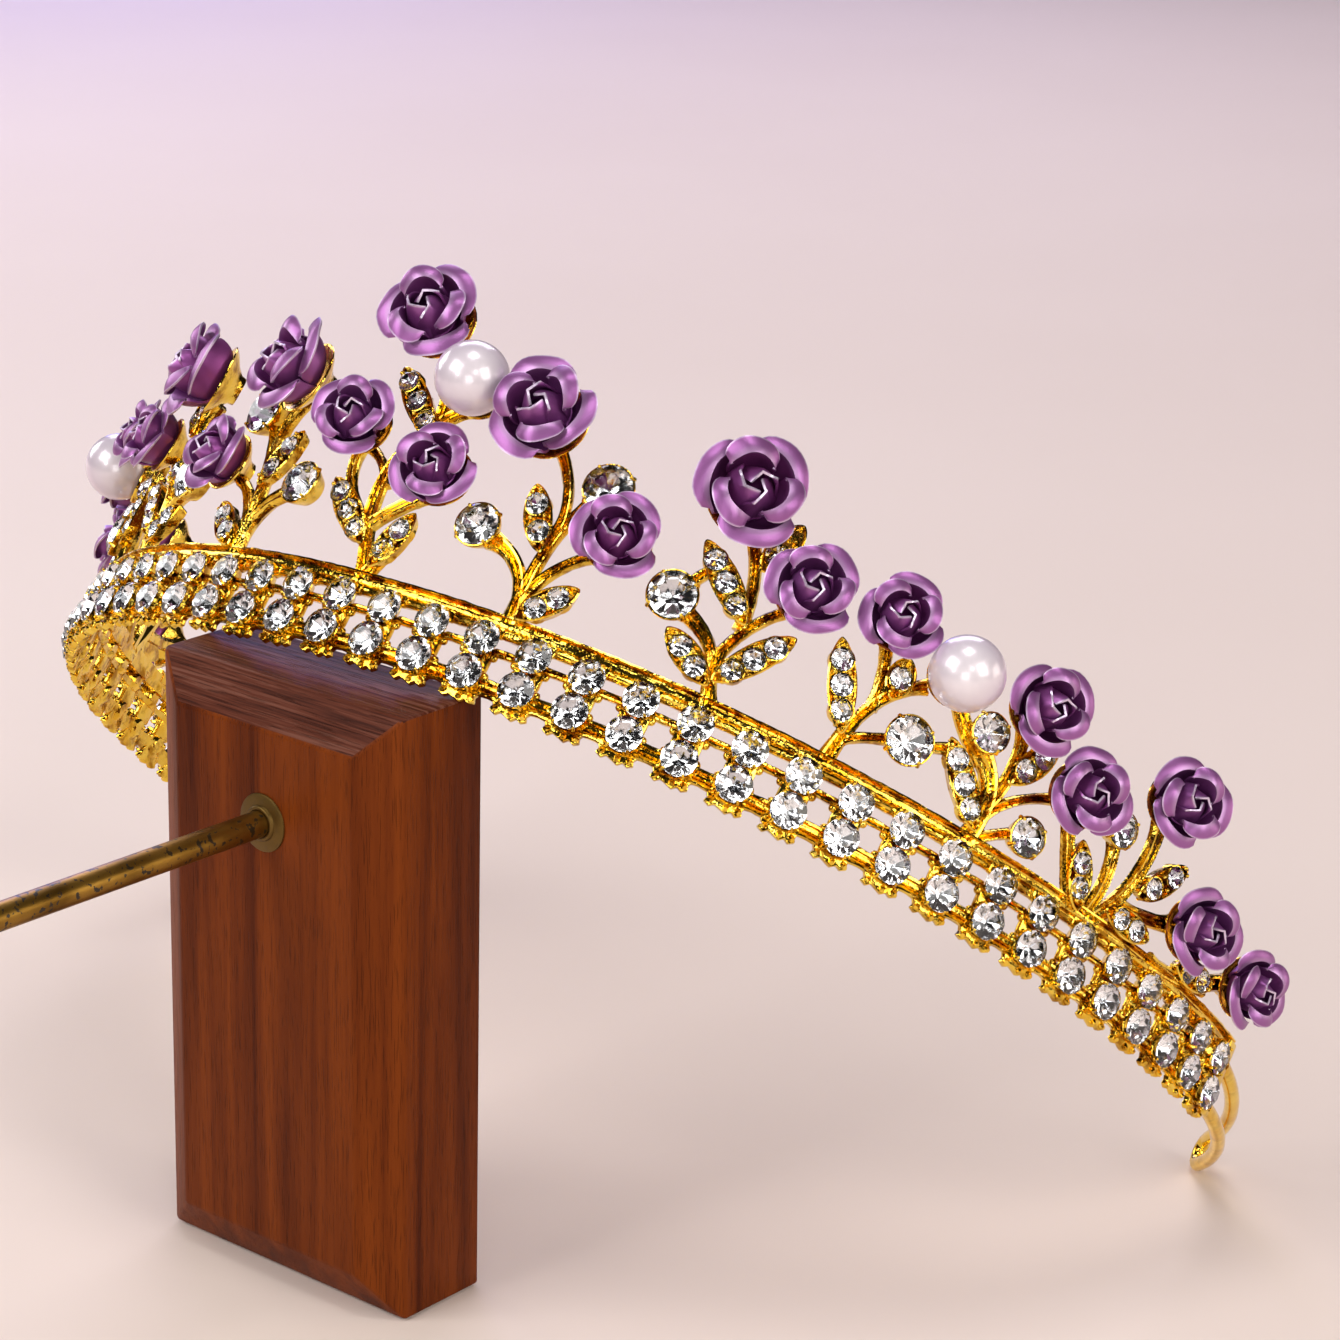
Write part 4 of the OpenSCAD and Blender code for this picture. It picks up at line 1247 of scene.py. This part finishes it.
def rose_template():
    bm = bmesh.new()
    painted_light_layer = bm.verts.layers.float.new("lip")
    for turn in (0, 120, 240):
        petal(bm, painted_light_layer, turn, *OUTER_PETAL)
        petal(bm, painted_light_layer, turn + 60, *INNER_PETAL)
        bud_panel(bm, painted_light_layer, turn + 20)
    bmesh.ops.recalc_face_normals(bm, faces=bm.faces[:])
    bmesh.ops.solidify(bm, geom=bm.faces[:], thickness=SHEET)
    stamp(bm, to_template(turned(ROSE_FOOT_PROFILE, steps=24), "rose_foot"), Matrix.Identity(4))
    bmesh.ops.recalc_face_normals(bm, faces=bm.faces[:])
    return to_template(bm, "rose")


rose_mesh = rose_template()
print("rose template height:", round(max(v.co.z for v in rose_mesh.vertices), 3))
print("rose template radius:", round(max(v.co.xy.length for v in rose_mesh.vertices), 3))

# %% [markdown]
# Pressed petals never come out twice the same. Each rose gets its own slow noise, which
# bends its petals by a few tenths of a millimetre.

# %% Roses
BEND_SHARE = 0.035
BEND_REACH = 3
for k, (u, h, diameter, swing, turn) in enumerate(ALL_ROSES, 1):
    rose = bmesh.new()
    stamp(rose, rose_mesh, Matrix.Rotation(math.radians(turn), 4, "Z") @ Matrix.Scale(diameter / 2, 4))
    for v in rose.verts:
        bend = noise.noise_vector(v.co / BEND_REACH + Vector((17 * k, 0, 0)))
        v.co += bend * BEND_SHARE * v.co.length
    bmesh.ops.transform(rose, matrix=on_wall(u, h, ROSE_FOOT, swing), verts=rose.verts[:])
    finish_piece(f"petals_{k}", rose, [rose_metal], [f"rose_{k}"], smooth_angle=50)

# %% [markdown]
# ## Pearls
# A pearl on a pin has a hole drilled nearly half way in from the back. It is turned like the
# cups, from the bottom of the hole round to its front.

# %% Pearls
PIN_HOLE_R = 0.5
PIN_HOLE_TOP = -0.8
PEARL_STEPS = 32
hole_angle = math.asin(PIN_HOLE_R / PEARL_R)
pearl_profile = [(0, PIN_HOLE_TOP), (PIN_HOLE_R, PIN_HOLE_TOP)]
for k in range(PEARL_STEPS + 1):
    angle = hole_angle + (math.pi - hole_angle) * k / PEARL_STEPS
    pearl_profile.append((PEARL_R * math.sin(angle), -PEARL_R * math.cos(angle)))
for k, (u, h) in enumerate(PEARLS, 1):
    pearl = turned(pearl_profile, steps=48)
    bmesh.ops.transform(pearl, matrix=on_wall(u, h, PEARL_FOOT + PEARL_R), verts=pearl.verts[:])
    finish_piece(f"drilled_pearl_{k}", pearl, [pearl_white], [f"pearl_{k}"], smooth_angle=40)

# %% [markdown]
# ## Display block
# The block is drawn from its eyelet hole outwards. One ring of points goes from the bottom
# of the hole to its edge, to the flat face, down the sloping border and along the sides
# to the back. Saw-cut edges are never sharp to the touch, so they are eased.

# %% Block
BLOCK_W, BLOCK_T, BLOCK_H = 35.2, 14.3, 67.3
BORDER_W, BORDER_D = 4.7, 2.9
FRONT_Y, BACK_Y = -BLOCK_T / 2, BLOCK_T / 2
ROD_H = 52.6
HOLE_R = 2.55
HOLE_DEPTH = 8
EASE = 0.35
BORDER_STEPS = 8
SHARP_ANGLE = 0.3
END_GRAIN_SLOPE = 0.45
hole = Vector((0, ROD_H))
middle = Vector((0, BLOCK_H / 2))
flat = Vector((BLOCK_W / 2 - BORDER_W, BLOCK_H / 2 - BORDER_W))
corners = [middle + Vector((x * flat.x, z * flat.y)) for x, z in ((1, -1), (1, 1), (-1, 1), (-1, -1))]
sides = zip(corners, corners[1:] + corners[:1])
border = [a.lerp(b, k / BORDER_STEPS) for a, b in sides for k in range(BORDER_STEPS)]
hole_ring = [hole + (point - hole).normalized() * HOLE_R for point in border]
edge_ring = [
    Vector((p.x / flat.x * BLOCK_W / 2, middle.y + (p.y - middle.y) / flat.y * BLOCK_H / 2)) for p in border
]
# each ring of the block with its depth
block_rings = [
    (hole_ring, FRONT_Y + HOLE_DEPTH), (hole_ring, FRONT_Y), (border, FRONT_Y),
    (edge_ring, FRONT_Y + BORDER_D), (edge_ring, BACK_Y),
]
print("points in each ring of the block:", len(border))

# %% Draw and ease the block
block = bmesh.new()
draw_rings(block, [[Vector((p.x, y, p.y)) for p in ring] for ring, y in block_rings])
bmesh.ops.recalc_face_normals(block, faces=block.faces[:])


def is_saw_cut(edge):
    """True for the block's own sharp edges, and not for those of the hole."""
    from_hole = min(math.hypot(v.co.x, v.co.z - ROD_H) for v in edge.verts)
    return edge.calc_face_angle() > SHARP_ANGLE and from_hole > 2 * HOLE_R


saw_cuts = [edge for edge in block.edges if is_saw_cut(edge)]
bmesh.ops.bevel(
    block, geom=saw_cuts, offset=EASE, affect="EDGES", segments=3, profile=0.5, material=-1,
)
for face in block.faces:
    face.material_index = 1 if face.normal.z > END_GRAIN_SLOPE else 0
finish_piece("walnut_block", block, [walnut_side, walnut_end], ["display_block"], smooth_angle=30)

# %% [markdown]
# ## Eyelet and rod
# The eyelet is a brass tube with a rolled lip that lines the hole. The rod is a
# plain brass bar with an eased end. Both are turned and then laid on their side.

# %% Eyelet and rod
ROD_R, ROD_L = 1.45, 62
ROD_FOOT = -7.9
ROD_EASE = 0.6
ROD_STEPS = 12
EYELET_PROFILE = [
    (1.5, -7.9), (2.5, -7.9), (2.5, -0.05), (3.1, -0.02), (3.2, 0.08), (3.16, 0.2), (3.0, 0.28), (2.2, 0.3),
    (1.98, 0.36), (1.9, 0.6), (1.78, 0.7), (1.6, 0.72), (1.5, 0.66),
]
block_front = Matrix.Translation((0, FRONT_Y, ROD_H)) @ UPRIGHT
eyelet = turned_ring(EYELET_PROFILE, 48)
bmesh.ops.transform(eyelet, matrix=block_front, verts=eyelet.verts[:])
finish_piece("brass_eyelet", eyelet, [dull_brass], ["block_grommet"], smooth_angle=40)

rod_profile = [(0, ROD_FOOT), (ROD_R, ROD_FOOT)]
rod_step = (ROD_L - ROD_EASE - ROD_FOOT) / ROD_STEPS
rod_profile += [(ROD_R, ROD_FOOT + rod_step * k) for k in range(1, ROD_STEPS + 1)]
rod_profile += [(ROD_R - 0.2, ROD_L - 0.2), (ROD_R - ROD_EASE, ROD_L), (0, ROD_L)]
rod = turned(rod_profile)
bmesh.ops.transform(rod, matrix=block_front, verts=rod.verts[:])
finish_piece("brass_rod", rod, [aged_brass], ["support_rod"], smooth_angle=40)

# %% [markdown]
# ## Floor
# A wide pale floor fills the picture. It is a little warmer than grey, with a hint of
# unevenness, and it is not part of the object.

# %% Floor
FLOOR_TINTS = [(0.3, (0.78, 0.65, 0.575)), (0.7, (0.82, 0.69, 0.615))]
floor_finish, nodes, links, shader, masks = new_finish("pale_floor", 4, 60, 0.0002)
# the floor stays flat, so its normal isn't dented
for link in list(shader.inputs["Normal"].links):
    links.remove(link)
links.new(ramp_colours(nodes, links, masks["Patches"], FLOOR_TINTS), shader.inputs["Base Color"])
shader.inputs["Roughness"].default_value = 0.8
floor_mesh = bmesh.new()
bmesh.ops.create_grid(floor_mesh, x_segments=1, y_segments=1, size=6)
floor_data = to_template(floor_mesh, "floor")
floor_data.materials.append(floor_finish)
floor = bpy.data.objects.new("floor", floor_data)
floor.location.z = -0.0002
bpy.context.collection.objects.link(floor)
print("floor finish:", floor_finish.name)

# %% [markdown]
# ## Light
# One large soft lamp stands at the upper left, a weaker one at the right fills the shadows,
# and one from behind draws bright rims on the gold. Softer ones stand in front, at the left
# and overhead, and a low one at the far right lights the inside of the band. Two small lamps
# make the sparks in the stones, and a lilac one tints the floor far behind. The world is
# nearly dark, so that metal and stones find something dark to reflect.

# %% Lamps and world
CROWN_MIDDLE = (0, 0.02, 0.05)
FAR_FLOOR = (-0.7, 0.55, 0)
WHITE = (1, 1, 1)
# each lamp: name, place, aim, width, height, power, colour
LAMPS = [
    ("key", (-0.35, -0.75, 0.75), CROWN_MIDDLE, 0.7, 0.55, 6.2, WHITE),
    ("front", (0.55, -0.85, 0.25), CROWN_MIDDLE, 0.4, 0.4, 1.7, (1, 0.99, 0.98)),
    ("fill", (0.95, -0.05, 0.5), CROWN_MIDDLE, 0.5, 0.6, 4.4, (1, 0.97, 0.94)),
    ("rim", (-0.6, 0.8, 0.7), CROWN_MIDDLE, 0.9, 0.5, 5.0, (0.90, 0.85, 1.0)),
    ("glow", (-0.95, 0.75, 0.35), FAR_FLOOR, 0.3, 0.3, 1.5, (0.34, 0.32, 1.0)),
    ("top", (0.1, 0.0, 1.1), CROWN_MIDDLE, 0.4, 0.4, 3.2, WHITE),
    ("side", (-0.9, 0.05, 0.35), CROWN_MIDDLE, 0.4, 0.4, 2.0, WHITE),
    ("inside", (0.75, 0.65, 0.18), CROWN_MIDDLE, 0.5, 0.35, 1.5, (1, 0.93, 0.82)),
    ("spark_left", (-0.1, -0.9, 0.45), CROWN_MIDDLE, 0.14, 0.14, 0.8, WHITE),
    ("spark_right", (0.7, -0.5, 0.6), CROWN_MIDDLE, 0.14, 0.14, 0.8, WHITE),
]
for name, place, aim, width, height, power, colour in LAMPS:
    lamp_data = bpy.data.lights.new(name, "AREA")
    lamp_data.shape = "RECTANGLE"
    lamp_data.size, lamp_data.size_y = width, height
    lamp_data.energy = power
    lamp_data.color = colour
    lamp = bpy.data.objects.new(name, lamp_data)
    way = Vector(aim) - Vector(place)
    lamp.matrix_world = Matrix.Translation(place) @ way.to_track_quat("-Z", "Y").to_matrix().to_4x4()
    bpy.context.collection.objects.link(lamp)
world = bpy.data.worlds.new("soft_room")
world.use_nodes = True
background = world.node_tree.nodes["Background"]
background.inputs["Color"].default_value = (0.80, 0.77, 0.78, 1)
background.inputs["Strength"].default_value = 0.02
bpy.context.scene.world = world
bpy.context.scene.view_settings.view_transform = "Standard"
print("lamps:", len(LAMPS))
